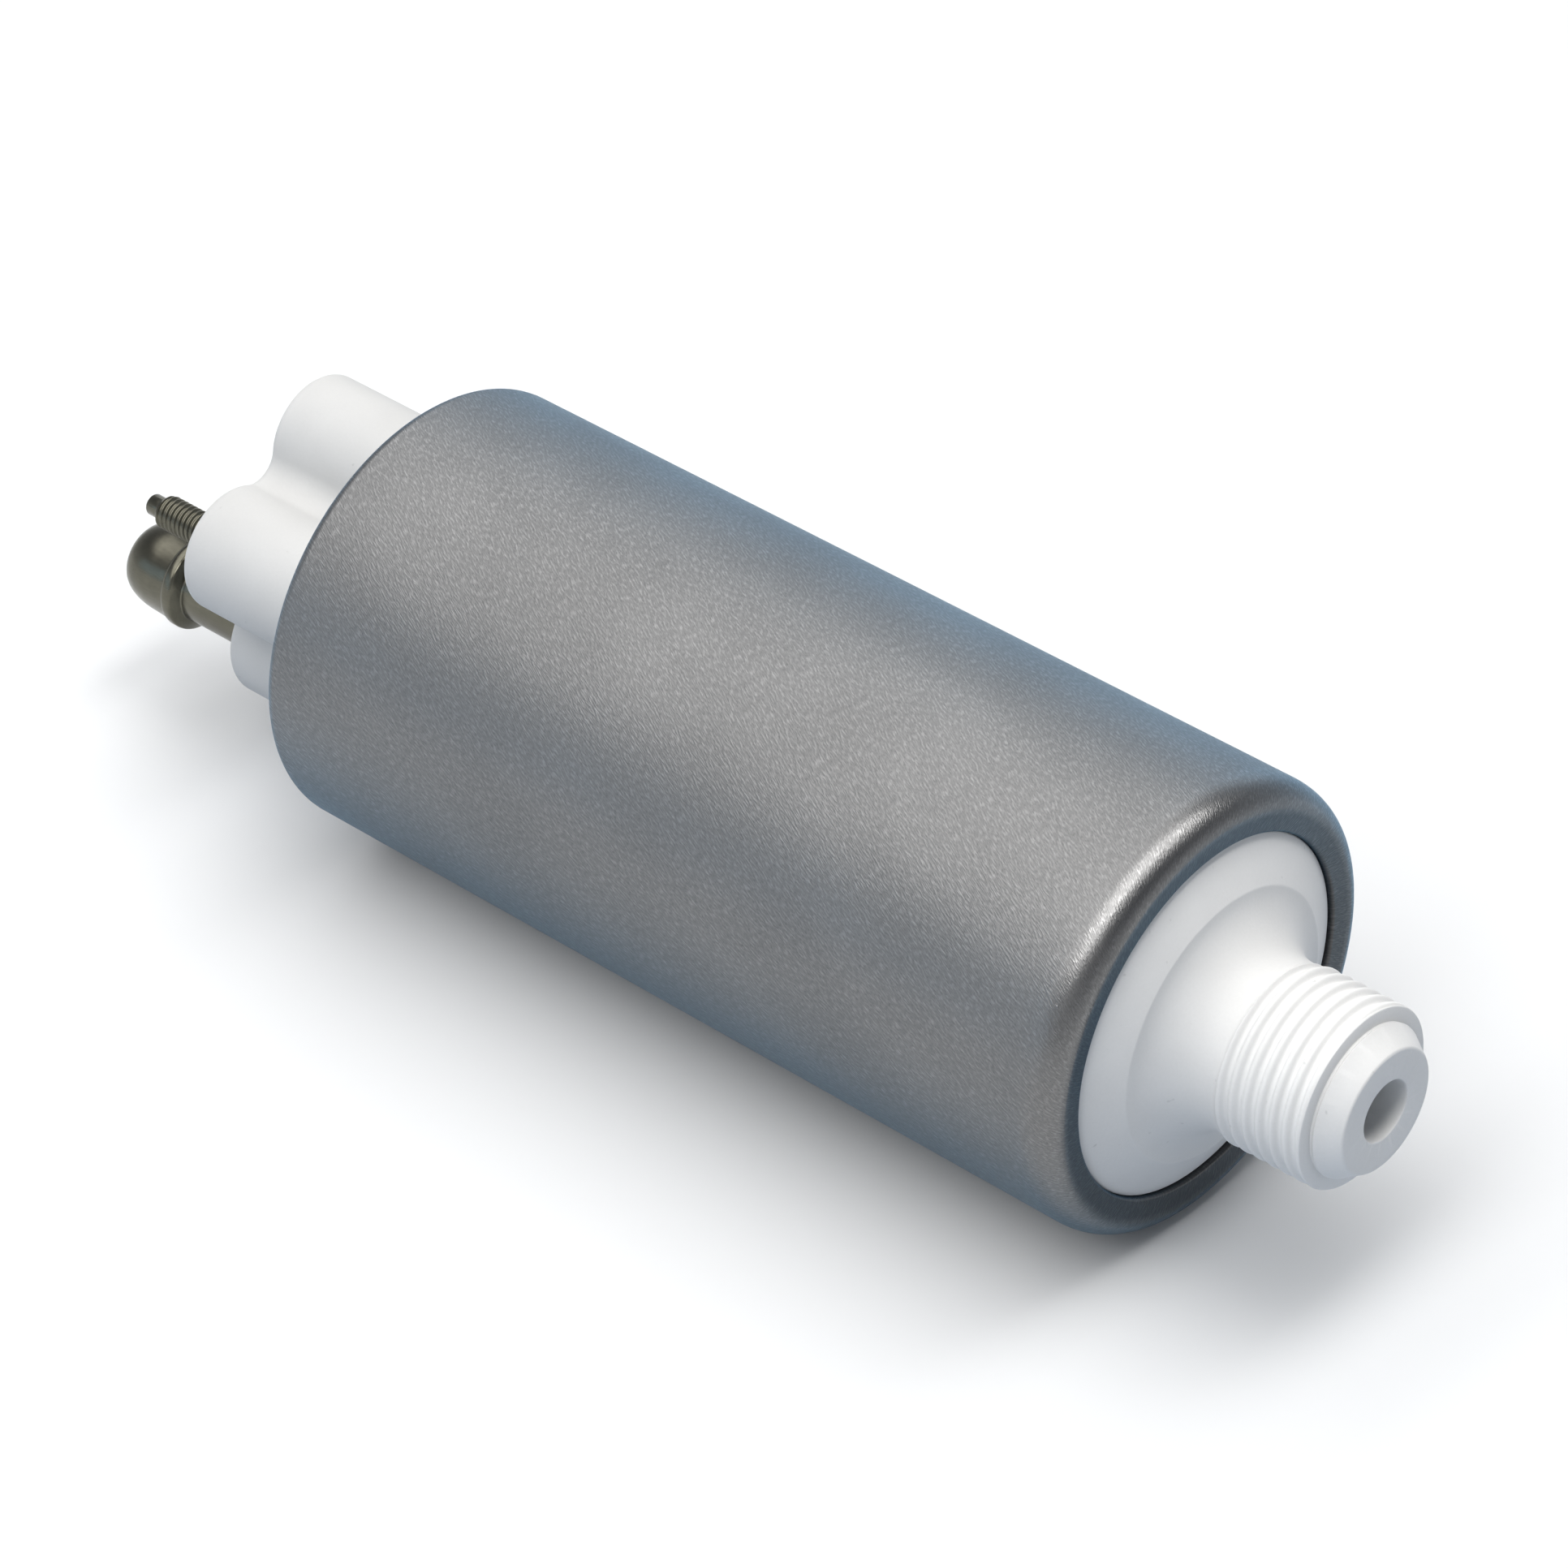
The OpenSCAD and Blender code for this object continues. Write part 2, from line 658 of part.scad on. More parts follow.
// Outer rotor: a ring with one lobe more than the inner rotor has teeth
module outer_rotor() color([0.38, 0.38, 0.4])
    difference() {
        rod(x_outlet_plate + rotor_gap, x_ring - rotor_gap, outer_rotor_d, outer_centre);
        difference() {
            rod(x_outlet_plate - over, x_ring + over, 2 * root_r, outer_centre);
            for (lobe = [0 : outer_teeth - 1])
                rod(
                    x_outlet_plate - 2 * over, x_ring + 2 * over, 2 * lobe_r,
                    outer_centre + place(lobe_pitch_r, 360 * lobe / outer_teeth)
                );
        }
    }

// Inner rotor: toothed wheel with two slots in its rear face for the coupling
module inner_rotor() color([0.42, 0.42, 0.45])
    difference() {
        along_x(x_outlet_plate + rotor_gap) linear_extrude(rotor_l)
            polygon([
                for (i = [0 : points_per_tooth * inner_teeth - 1])
                    rotor_point(360 * i / (points_per_tooth * inner_teeth))
            ]);
        rod(x_outlet_plate - over, x_ring + over, front_journal_d + 2 * fit_gap);
        along_x(x_outlet_plate - over)
            translate([-coupling_room_d / 2, -tang_w / 2 - fit_gap, 0])
                cube([coupling_room_d, tang_w + 2 * fit_gap, tang_l + over + free_gap]);
    }

// Sintered plate between the rotors and the motor
module outlet_plate() color([0.45, 0.45, 0.47])
    difference() {
        rod(x_motor_front, x_outlet_plate, 2 * stack_r);
        port(x_motor_front - over, x_outlet_plate + over, 90);
        rod(x_coupling_seat, x_outlet_plate + over, coupling_room_d);
        rod(x_motor_front - over, x_outlet_plate, front_bush_d + 2 * fit_gap);
        dowel_holes(x_outlet_plate - dowel_depth, x_outlet_plate + over);
    }

// Two dowel pins that line up the plates and the ring
module dowel_pins() color([0.7, 0.7, 0.72])
    for (angle = dowel_angles)
        rod(
            x_outlet_plate - dowel_depth + fit_gap, x_ring + dowel_depth - fit_gap, dowel_d,
            place(dowel_r, angle)
        );

// Steel ring that carries the magnets' flux
module flux_ring() color([0.3, 0.31, 0.33])
    ring(x_motor_rear, x_motor_front, 2 * stack_r, 2 * flux_bore_r);

// Arc magnet about a middle angle
module magnet(middle) color([0.2, 0.2, 0.21])
    arc_band(
        x_core_rear - magnet_overhang, x_core_front + magnet_overhang,
        magnet_bore_r, magnet_r, middle, magnet_angle
    );

module magnet_upper() magnet(90);

module magnet_lower() magnet(270);

// Two bent steel clips that hold the magnets apart
module magnet_clips() color([0.6, 0.62, 0.65])
    for (middle = [0, 180]) {
        leg_angle = 360 * clip_t / (2 * PI * magnet_r);
        arc_band(x_core_rear, x_core_front, magnet_r - clip_t, magnet_r, middle, clip_angle);
        for (side = [-1, 1])
            arc_band(
                x_core_rear, x_core_front, magnet_r - clip_leg, magnet_r,
                middle + side * (clip_angle - leg_angle) / 2, leg_angle
            );
    }

// Stepped steel shaft
module shaft() color([0.75, 0.76, 0.78]) {
    rod(x_shoulder, x_shaft_front, front_journal_d);
    rod(x_shaft_step, x_shoulder, shaft_d);
    rod(x_shaft_rear, x_shaft_step, rear_journal_d);
}

// Laminated armature core with round slots
module armature_core() color([0.35, 0.36, 0.38])
    difference() {
        rod(x_core_rear, x_core_front, 2 * core_r);
        rod(x_core_rear - over, x_core_front + over, shaft_d + 2 * fit_gap);
        for (slot = [0 : slots - 1]) {
            rod(
                x_core_rear - over, x_core_front + over, slot_d,
                place(slot_pitch_r, 360 * slot / slots)
            );
            along_x(x_core_rear - over) rotate(360 * slot / slots)
                translate([slot_pitch_r, -slot_opening / 2, 0])
                    cube([core_r, slot_opening, core_l + 2 * over]);
        }
    }

// Copper windings: a bundle in each slot and the end turns
module windings() color([0.72, 0.4, 0.2]) {
    for (slot = [0 : slots - 1])
        rod(
            x_core_rear - over, x_core_front + over, slot_d - 2 * bundle_gap,
            place(slot_pitch_r, 360 * slot / slots)
        );
    ring(x_core_front, x_core_front + winding_l, winding_d, winding_hole_d);
    ring(x_core_rear - winding_l, x_core_rear, winding_d, winding_hole_d);
}

// Moulded base of the commutator, pressed on the shaft
module commutator_base() color([0.35, 0.2, 0.12])
    difference() {
        union() {
            rod(x_segments, x_commutator, commutator_d);
            rod(x_commutator_face + hub_sink, x_segments, segment_hole_d - 2 * fit_gap);
            rod(x_commutator, x_core_rear, spacer_d);
        }
        rod(x_commutator_face - over, x_core_rear + over, shaft_d + 2 * fit_gap);
    }

// Copper segments on the commutator's face, each one a separate piece
module commutator_segments() color([0.8, 0.48, 0.3])
    difference() {
        ring(x_commutator_face, x_segments, commutator_d, segment_hole_d);
        for (slit = [0 : segments / 2 - 1])
            along_x(x_commutator_face - over) rotate(360 * slit / segments)
                translate([-commutator_d, -slit_w / 2, 0])
                    cube([2 * commutator_d, slit_w, segment_l + 2 * over]);
    }

// Coupling on the shaft whose two tangs drive the inner rotor
module drive_coupling() color([0.16, 0.16, 0.17])
    difference() {
        union() {
            rod(x_coupling_seat + slide_gap, x_outlet_plate - slide_gap, coupling_d);
            intersection() {
                rod(x_outlet_plate - coupling_t, x_outlet_plate + tang_l, coupling_d);
                along_x(x_outlet_plate - coupling_t / 2)
                    translate([-coupling_d / 2, -tang_w / 2, 0])
                        cube([coupling_d, tang_w, tang_l + coupling_t / 2]);
            }
        }
        rod(x_coupling_seat - over, x_outlet_plate + tang_l + over, front_journal_d + 2 * fit_gap);
    }

// Bronze bush pressed in the outlet plate
module front_bush() color([0.72, 0.55, 0.3])
    ring(x_front_bush_end, x_coupling_seat, front_bush_d, front_journal_d + 2 * journal_gap);

// Thrust washer between the front bush and the shaft's shoulder
module thrust_washer() color([0.85, 0.82, 0.7])
    ring(x_washer_end, x_front_bush_end, washer_d, front_journal_d + 4 * journal_gap);

// Bronze bush pressed in the outlet cap
module rear_bush() color([0.72, 0.55, 0.3])
    ring(x_bush_rear, x_bush_front, rear_bush_d, rear_journal_d + 2 * journal_gap);

// One tower's outside, with a chamfered end
module tower(at, d) {
    rod(x_tower + tower_chamfer, x_wall_rear, d, at);
    cone(x_tower, x_tower + tower_chamfer, d - 2 * tower_chamfer, d, at);
}

// The four towers with filleted webs between neighbours
module tower_group() {
    centres = [for (i = [0 : 3]) fillet_centre(towers[i], towers[(i + 1) % 4])];
    outline = [for (i = [0 : 3], end = [0, 1]) end == 0 ? towers[i][0] : centres[i]];
    for (each_tower = towers) tower(each_tower[0], 2 * each_tower[1]);
    difference() {
        along_x(x_tower + tower_chamfer) linear_extrude(tower_l + shell_wall - tower_chamfer)
            polygon(outline);
        for (centre = centres) rod(x_tower - over, x_wall_rear + over, 2 * tower_fillet_r, centre);
    }
}

// Half profile of the outlet cap's wall, skirt, rear boss and bush boss
module outlet_profile()
    difference() {
        polygon([
            [0, x_boss], [boss_r, x_boss], [boss_r, x_wall_rear], [stack_r, x_wall_rear],
            [stack_r, x_motor_rear], [stack_r - skirt_wall, x_motor_rear],
            [stack_r - skirt_wall, x_wall_front], [bush_boss_d / 2, x_wall_front],
            [bush_boss_d / 2, x_bush_front], [0, x_bush_front]
        ]);
        translate([boss_r, x_boss]) mirror([0, 1]) corner_cut(rear_boss_edge_r);
        translate([stack_r - seal_groove_depth, x_outlet_seal - seal_groove_w / 2])
            square([seal_groove_depth + over, seal_groove_w]);
    }

// Cuts for one brush and its terminal stud
module brush_cuts(at, angle) {
    square_bar(x_well_end, x_guide + over, well_w, at, angle);
    rod(x_tower - over, x_well_end + over, stud_shank_d + 2 * fit_gap, at);
}

// Acetal outlet cap with four towers: relief valve, two terminals and outlet
module outlet_cap() color([0.93, 0.93, 0.92])
    difference() {
        union() {
            turned() outlet_profile();
            tower_group();
            rod(x_wall_rear, x_guide, guide_d, positive_at);
            rod(x_wall_rear, x_guide, guide_d, negative_at);
        }
        rod(x_bush_rear, x_guide + over, rear_bush_d + 2 * fit_gap);
        brush_cuts(positive_at, positive_angle);
        brush_cuts(negative_at, negative_angle);
        rod(x_valve_seat - over, x_wall_front + over, valve_seat_d, outlet_at);
        rod(x_retainer - over, x_valve_seat, valve_chamber_d, outlet_at);
        rod(x_tower - over, x_retainer, collar_d + 2 * fit_gap, outlet_at);
        rod(x_relief_seat - over, x_wall_front + over, relief_seat_d, relief_at);
        cone(x_relief_cone, x_relief_seat, relief_chamber_d, relief_seat_d, relief_at);
        rod(x_plug - over, x_relief_cone, relief_chamber_d, relief_at);
        rod(x_tower - over, x_plug, plug_d + 2 * fit_gap, relief_at);
    }

// Square carbon brush
module brush(at, angle) color([0.15, 0.15, 0.16])
    square_bar(x_brush_back, x_brush, brush_w, at, angle);

module brush_positive() brush(positive_at, positive_angle);

module brush_negative() brush(negative_at, negative_angle);

// Spring that presses a brush on the commutator
module brush_spring(at) color([0.7, 0.71, 0.73])
    coil(
        x_stud_head + slide_gap, x_brush_back - slide_gap,
        brush_coil_d, brush_wire_d, brush_coils, at
    );

module brush_spring_positive() brush_spring(positive_at);

module brush_spring_negative() brush_spring(negative_at);

// Copper lead that runs inside the spring from the stud to the brush
module brush_lead(at) color([0.75, 0.42, 0.22])
    coil(
        x_stud_head + slide_gap, x_brush_back - slide_gap,
        lead_coil_d, lead_wire_d, lead_coils, at
    );

module brush_lead_positive() brush_lead(positive_at);

module brush_lead_negative() brush_lead(negative_at);

// Threaded terminal stud with a head inside the tower and a plain point
module terminal_stud(at) color([0.45, 0.43, 0.34]) {
    turned(at) difference() {
        polygon([
            [0, x_stud_tip], [stud_point_d / 2, x_stud_tip], [stud_point_d / 2, x_stud_point],
            [stud_d / 2, x_stud_thread], [stud_d / 2, x_tower],
            [stud_shank_d / 2, x_tower], [stud_shank_d / 2, x_well_end],
            [stud_head_d / 2, x_well_end], [stud_head_d / 2, x_stud_head], [0, x_stud_head]
        ]);
        for (turn = [0 : stud_turns - 1])
            groove_profile(x_stud_thread + stud_pitch * (turn + 0.5), stud_pitch, stud_d);
    }
}

module terminal_stud_positive() terminal_stud(positive_at);

module terminal_stud_negative() terminal_stud(negative_at);

// Steel outlet tube with a hose barb, held in its tower by a collar
module outlet_tube() color([0.36, 0.35, 0.29])
    difference() {
        turned(outlet_at) polygon([
            [0, x_collar], [collar_d / 2, x_collar], [collar_d / 2, x_tower], [tube_d / 2, x_tower],
            [tube_d / 2, x_barb + (barb_d - tube_d) / 2], [barb_d / 2, x_barb],
            [barb_d / 2, x_barb_end], [tube_end_d / 2, x_tube_end + tube_end_chamfer],
            [tube_end_d / 2 - tube_end_chamfer, x_tube_end], [0, x_tube_end]
        ]);
        rod(x_tube_end - over, x_collar + over, tube_bore_d, outlet_at);
        rod(x_stem_room, x_collar + over, stem_room_d, outlet_at);
    }

// Poppet of the check valve with its guide stem
module check_poppet() color([0.7, 0.6, 0.35]) {
    rod(x_poppet_back, x_poppet, poppet_d, outlet_at);
    rod(x_stem_end, x_poppet_back, stem_d, outlet_at);
}

// Rubber face on the poppet
module check_poppet_face() color([0.12, 0.12, 0.12])
    rod(x_poppet, x_poppet + face_t, poppet_d, outlet_at);

// Spring that closes the check valve
module check_spring() color([0.7, 0.71, 0.73])
    coil(
        x_retainer + slide_gap, x_poppet_back - slide_gap,
        check_coil_d, check_wire_d, check_coils, outlet_at
    );

// Spoked retainer that backs the spring and guides the stem
module check_retainer() color([0.65, 0.6, 0.45])
    difference() {
        union() {
            ring(x_collar, x_retainer, collar_d, retainer_hole_d, outlet_at);
            rod(x_collar, x_retainer, retainer_hub_d, outlet_at);
            for (spoke = [0 : retainer_spokes - 1])
                along_x(x_collar, outlet_at) rotate(360 * spoke / retainer_spokes)
                    translate([0, -spoke_w / 2, 0])
                        cube([retainer_hole_d / 2 + spoke_reach, spoke_w, retainer_t]);
        }
        rod(x_collar - over, x_retainer + over, stem_d + 2 * slide_gap, outlet_at);
    }

// Ball of the relief valve
module relief_ball() color([0.8, 0.81, 0.83])
    translate([x_ball, relief_at.x, relief_at.y]) sphere(ball_r);

// Spring that holds the ball on its seat
module relief_spring() color([0.7, 0.71, 0.73])
    coil(
        x_plug + slide_gap, x_ball - ball_reach + relief_wire_d / 2,
        relief_coil_d, relief_wire_d, relief_coils, relief_at
    );

// Plug that backs the relief spring, with a vent hole
module relief_plug() color([0.88, 0.88, 0.87])
    ring(x_plug_rear, x_plug, plug_d, vent_d, relief_at);

shell();
inlet_cap();
inlet_seal();
inlet_plate();
eccentric_ring();
outer_rotor();
inner_rotor();
outlet_plate();
dowel_pins();
flux_ring();
magnet_upper();
magnet_lower();
magnet_clips();
shaft();
armature_core();
windings();
commutator_base();
commutator_segments();
drive_coupling();
front_bush();
thrust_washer();
rear_bush();
outlet_cap();
outlet_seal();
brush_positive();
brush_negative();
brush_spring_positive();
brush_spring_negative();
brush_lead_positive();
brush_lead_negative();
terminal_stud_positive();
terminal_stud_negative();
outlet_tube();
check_poppet();
check_poppet_face();
check_spring();
check_retainer();
relief_ball();
relief_spring();
relief_plug();
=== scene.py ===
import math

import bmesh
import bpy
from mathutils import Matrix, Vector


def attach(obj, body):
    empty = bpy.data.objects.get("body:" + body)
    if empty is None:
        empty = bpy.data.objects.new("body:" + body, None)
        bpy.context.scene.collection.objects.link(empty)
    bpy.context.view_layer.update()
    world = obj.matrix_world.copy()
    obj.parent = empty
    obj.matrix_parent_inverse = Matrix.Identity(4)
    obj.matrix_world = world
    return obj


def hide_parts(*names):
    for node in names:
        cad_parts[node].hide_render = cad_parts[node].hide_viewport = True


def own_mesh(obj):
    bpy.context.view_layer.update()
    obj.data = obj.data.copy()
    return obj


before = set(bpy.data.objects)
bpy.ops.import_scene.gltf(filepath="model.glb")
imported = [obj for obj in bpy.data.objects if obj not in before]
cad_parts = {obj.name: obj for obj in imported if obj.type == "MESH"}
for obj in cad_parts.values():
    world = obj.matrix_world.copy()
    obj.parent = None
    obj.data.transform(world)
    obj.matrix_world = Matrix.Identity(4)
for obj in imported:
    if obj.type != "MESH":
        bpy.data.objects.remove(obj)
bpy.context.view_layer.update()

# Camera
# A long lens above the threaded end and to the left of the can, level, and aimed at the can's middle.
camera_data = bpy.data.cameras.new("camera")
camera_data.lens = 159.76
camera_data.sensor_width = 36
camera = bpy.data.objects.new("camera", camera_data)
camera.location = (0.34197, -0.38754, 0.38795)
camera.rotation_mode = "QUATERNION"
camera.rotation_quaternion = Vector((-0.5323, 0.5989, -0.5983)).to_track_quat("-Z", "Y")
bpy.context.scene.collection.objects.link(camera)
bpy.context.scene.camera = camera

# Studio
# A white table in a dim room, under two long soft lights that lie across the can, one over the terminals and one over
# the thread. A weak one stands behind and a cool low one in front. The camera and reflections see the table white.
MM = 0.001
FLOOR_Z = -22.5 * MM
FLOOR_SIZE = 6


def soft_light(name, direction, distance, size, power, colour):
    """Area light aimed at the can's middle from a direction, with its first side level and across the can."""
    light_data = bpy.data.lights.new(name, "AREA")
    light_data.shape = "RECTANGLE"
    light_data.size, light_data.size_y = size
    light_data.energy = power
    light_data.color = colour
    light = bpy.data.objects.new(name, light_data)
    back = Vector(direction).normalized()
    across = (Vector((0, 1, 0)) - back * back.y).normalized()
    light.location = back * distance
    light.rotation_mode = "QUATERNION"
    light.rotation_quaternion = Matrix((across, back.cross(across), back)).transposed().to_quaternion()
    bpy.context.scene.collection.objects.link(light)


soft_light("overhead_light", (-0.53, -0.14, 0.84), 1.1, (2.7, 0.6), 12.0, (1.0, 0.99, 0.975))
soft_light("front_light", (0.15, -0.14, 0.95), 0.7, (1.35, 0.3), 7.2, (1.0, 0.985, 0.965))
soft_light("back_light", (-0.5, 0.8, 0.3), 1.0, (0.8, 0.5), 1.3, (0.95, 0.98, 1.0))
soft_light("low_light", (-0.45, -0.88, 0.1), 0.8, (0.9, 0.25), 0.4, (0.4, 0.7, 1.0))

room = bpy.data.worlds.new("room")
bpy.context.scene.world = room
room.use_nodes = True
room_nodes, room_links = room.node_tree.nodes, room.node_tree.links
room_place = room_nodes.new("ShaderNodeTexCoord")
room_split = room_nodes.new("ShaderNodeSeparateXYZ")
room_height = room_nodes.new("ShaderNodeMapRange")
room_height.inputs["From Max"].default_value = 0.6
room_colour = room_nodes.new("ShaderNodeMix")
room_colour.data_type = "RGBA"
room_colour.inputs["A"].default_value = (0.72, 0.735, 0.76, 1)
room_colour.inputs["B"].default_value = (0.12, 0.13, 0.15, 1)
room_links.new(room_place.outputs["Generated"], room_split.inputs["Vector"])
room_links.new(room_split.outputs["Z"], room_height.inputs["Value"])
room_links.new(room_height.outputs["Result"], room_colour.inputs["Factor"])
room_links.new(room_colour.outputs["Result"], room_nodes["Background"].inputs["Color"])
bpy.context.scene.view_settings.view_transform = "Standard"

bpy.ops.object.select_all(action="DESELECT")
bpy.ops.mesh.primitive_plane_add(size=FLOOR_SIZE, location=(0, 0, FLOOR_Z))
table = bpy.context.object
table.name = "table"
table_finish = bpy.data.materials.new("white_table")
table_finish.use_nodes = True
table_nodes, table_links = table_finish.node_tree.nodes, table_finish.node_tree.links
table_shader = table_nodes["Principled BSDF"]
table_shader.inputs["Roughness"].default_value = 0.9
table_shader.inputs["Specular IOR Level"].default_value = 0.0
table_path = table_nodes.new("ShaderNodeLightPath")
table_glossy = table_nodes.new("ShaderNodeMath")
table_glossy.operation = "MAXIMUM"
table_seen = table_nodes.new("ShaderNodeMath")
table_seen.operation = "MAXIMUM"
table_colour = table_nodes.new("ShaderNodeMix")
table_colour.data_type = "RGBA"
table_colour.inputs["A"].default_value = (0.36, 0.41, 0.48, 1)
table_colour.inputs["B"].default_value = (0.7, 0.71, 0.72, 1)
table_links.new(table_path.outputs["Is Glossy Ray"], table_glossy.inputs[0])
table_links.new(table_path.outputs["Is Transmission Ray"], table_glossy.inputs[1])
table_links.new(table_glossy.outputs["Value"], table_seen.inputs[0])
table_links.new(table_path.outputs["Is Camera Ray"], table_seen.inputs[1])
table_links.new(table_seen.outputs["Value"], table_colour.inputs["Factor"])
table_links.new(table_colour.outputs["Result"], table_shader.inputs["Base Color"])
table.data.materials.append(table_finish)

# Can
# Satin steel tube, 45 mm across, with its ends rolled over both caps. Drawn as a half profile and spun, as it
# is on a spinning lathe. Tumbled, so that short fine flecks lie aslant all over it.
CAN_R = 22.5
CAN_BORE_R = 20.9
CAN_END = 48.4
CAN_WALL = 1.6
LIP_R = 17.95
LIP_EDGE_R = 0.35
LIP_DIP = 0.2
FRONT_CORNER_L = 3.5
FRONT_CORNER_R = 2.3
FRONT_CORNER_PARTS = 18
REAR_CORNER_R = 1.3
FLECK_ANGLE = 27
SAME_PLACE = 2e-6


def arc(x, r, radius, start, end, parts=8):
    """Points of an arc in the half profile's plane: 0 degrees is towards +X and 90 is outward."""
    turns = [math.radians(start + (end - start) * i / parts) for i in range(parts + 1)]
    return [(x + radius * math.cos(a), r + radius * math.sin(a)) for a in turns]


def draw(name, points):
    """Draws a line through points in millimetres by extruding one vertex, and stays in edit mode."""
    bpy.ops.object.select_all(action="DESELECT")
    bpy.ops.mesh.primitive_plane_add(size=MM, location=(0, 0, 0))
    piece = bpy.context.object
    piece.name = piece.data.name = name
    bpy.ops.object.mode_set(mode="EDIT")
    bpy.ops.mesh.select_all(action="SELECT")
    bpy.ops.mesh.merge(type="CENTER")
    bpy.ops.transform.translate(value=Vector(points[0]) * MM)
    for near, far in zip(points, points[1:]):
        step = (Vector(far) - Vector(near)) * MM
        bpy.ops.mesh.extrude_vertices_move(TRANSFORM_OT_translate={"value": step})
    return piece


def smooth(piece, angle=32):
    """Leaves edit mode and shades the piece smooth but for its sharp edges."""
    bpy.ops.mesh.select_all(action="SELECT")
    bpy.ops.mesh.remove_doubles(threshold=SAME_PLACE)
    bpy.ops.mesh.normals_make_consistent(inside=False)
    bpy.ops.object.mode_set(mode="OBJECT")
    bpy.ops.mesh.customdata_custom_splitnormals_clear()
    bpy.ops.object.shade_smooth_by_angle(angle=math.radians(angle))
    even = piece.modifiers.new("even_shading", "WEIGHTED_NORMAL")
    even.keep_sharp = True
    bpy.ops.object.modifier_apply(modifier=even.name)
    return piece


def turn(name, profile, middle=(0.0, 0.0), steps=128):
    """Spins a half profile of (x, radius) about the line along X through middle, given as (y, z)."""
    y, z = middle
    piece = draw(name, [(x, y, z + r) for x, r in profile])
    bpy.ops.mesh.select_all(action="SELECT")
    bpy.ops.mesh.spin(steps=steps, angle=2 * math.pi, center=(0, y * MM, z * MM), axis=(1, 0, 0))
    return smooth(piece)


can = turn(
    "can",
    [(CAN_END - CAN_WALL, CAN_BORE_R), (CAN_END - CAN_WALL, LIP_R)]
    + arc(CAN_END - LIP_DIP - LIP_EDGE_R, LIP_R + LIP_EDGE_R, LIP_EDGE_R, -90, 0)
    + [
        (CAN_END - FRONT_CORNER_L * (1 - math.cos(a)), CAN_R - FRONT_CORNER_R * (1 - math.sin(a)))
        for a in (math.radians(90 * i / FRONT_CORNER_PARTS) for i in range(FRONT_CORNER_PARTS + 1))
    ]
    + arc(REAR_CORNER_R - CAN_END, CAN_R - REAR_CORNER_R, REAR_CORNER_R, 90, 180)
    + arc(LIP_DIP + LIP_EDGE_R - CAN_END, LIP_R + LIP_EDGE_R, LIP_EDGE_R, 180, 270)
    + [(CAN_WALL - CAN_END, LIP_R), (CAN_WALL - CAN_END, CAN_BORE_R)]
    + [(CAN_END - CAN_WALL, CAN_BORE_R)],
    steps=192,
)


def finish(name, colour, metallic, roughness):
    """A new material with one plain shader, to be given its grain."""
    material = bpy.data.materials.new(name)
    material.use_nodes = True
    shader = material.node_tree.nodes["Principled BSDF"]
    shader.inputs["Base Color"].default_value = (*colour, 1)
    shader.inputs["Metallic"].default_value = metallic
    shader.inputs["Roughness"].default_value = roughness
    return material


def place_of(material, stretch=(1, 1, 1)):
    """Place on the piece in millimetres, stretched along each axis."""
    nodes, links = material.node_tree.nodes, material.node_tree.links
    place = nodes.new("ShaderNodeTexCoord")
    scaled = nodes.new("ShaderNodeMapping")
    scaled.inputs["Scale"].default_value = [way / MM for way in stretch]
    links.new(place.outputs["Object"], scaled.inputs["Vector"])
    return scaled.outputs["Vector"]


def wrap_of(material, radius, stretch=(1, 1), aslant=0.0):
    """Place on a round piece, rolled flat: millimetres along its skin and around it, turned and then stretched."""
    nodes, links = material.node_tree.nodes, material.node_tree.links
    place = nodes.new("ShaderNodeTexCoord")
    sized = nodes.new("ShaderNodeMapping")
    sized.inputs["Scale"].default_value = (1 / MM, 1 / MM, 1 / MM)
    apart = nodes.new("ShaderNodeSeparateXYZ")
    across = nodes.new("ShaderNodeCombineXYZ")
    out = nodes.new("ShaderNodeVectorMath")
    out.operation = "LENGTH"
    angle = nodes.new("ShaderNodeMath")
    angle.operation = "ARCTAN2"
    around = nodes.new("ShaderNodeMath")
    around.operation = "MULTIPLY"
    around.inputs[1].default_value = radius
    along = nodes.new("ShaderNodeMath")
    along.operation = "SUBTRACT"
    flat = nodes.new("ShaderNodeCombineXYZ")
    turned = nodes.new("ShaderNodeMapping")
    turned.inputs["Rotation"].default_value = (0, 0, math.radians(aslant))
    scaled = nodes.new("ShaderNodeMapping")
    scaled.inputs["Scale"].default_value = (*stretch, 1)
    links.new(place.outputs["Object"], sized.inputs["Vector"])
    links.new(sized.outputs["Vector"], apart.inputs["Vector"])
    links.new(apart.outputs["Y"], across.inputs["Y"])
    links.new(apart.outputs["Z"], across.inputs["Z"])
    links.new(across.outputs["Vector"], out.inputs[0])
    links.new(apart.outputs["Y"], angle.inputs[0])
    links.new(apart.outputs["Z"], angle.inputs[1])
    links.new(angle.outputs["Value"], around.inputs[0])
    links.new(apart.outputs["X"], along.inputs[0])
    links.new(out.outputs["Value"], along.inputs[1])
    links.new(along.outputs["Value"], flat.inputs["X"])
    links.new(around.outputs["Value"], flat.inputs["Y"])
    links.new(flat.outputs["Vector"], turned.inputs["Vector"])
    links.new(turned.outputs["Vector"], scaled.inputs["Vector"])
    return scaled.outputs["Vector"]


def noise(material, place, detail=2.0, sharp=0.5):
    """Soft noise over a place, from 0 to 1."""
    texture = material.node_tree.nodes.new("ShaderNodeTexNoise")
    texture.inputs["Scale"].default_value = 1.0
    texture.inputs["Detail"].default_value = detail
    texture.inputs["Roughness"].default_value = sharp
    material.node_tree.links.new(place, texture.inputs["Vector"])
    return texture.outputs["Fac"]


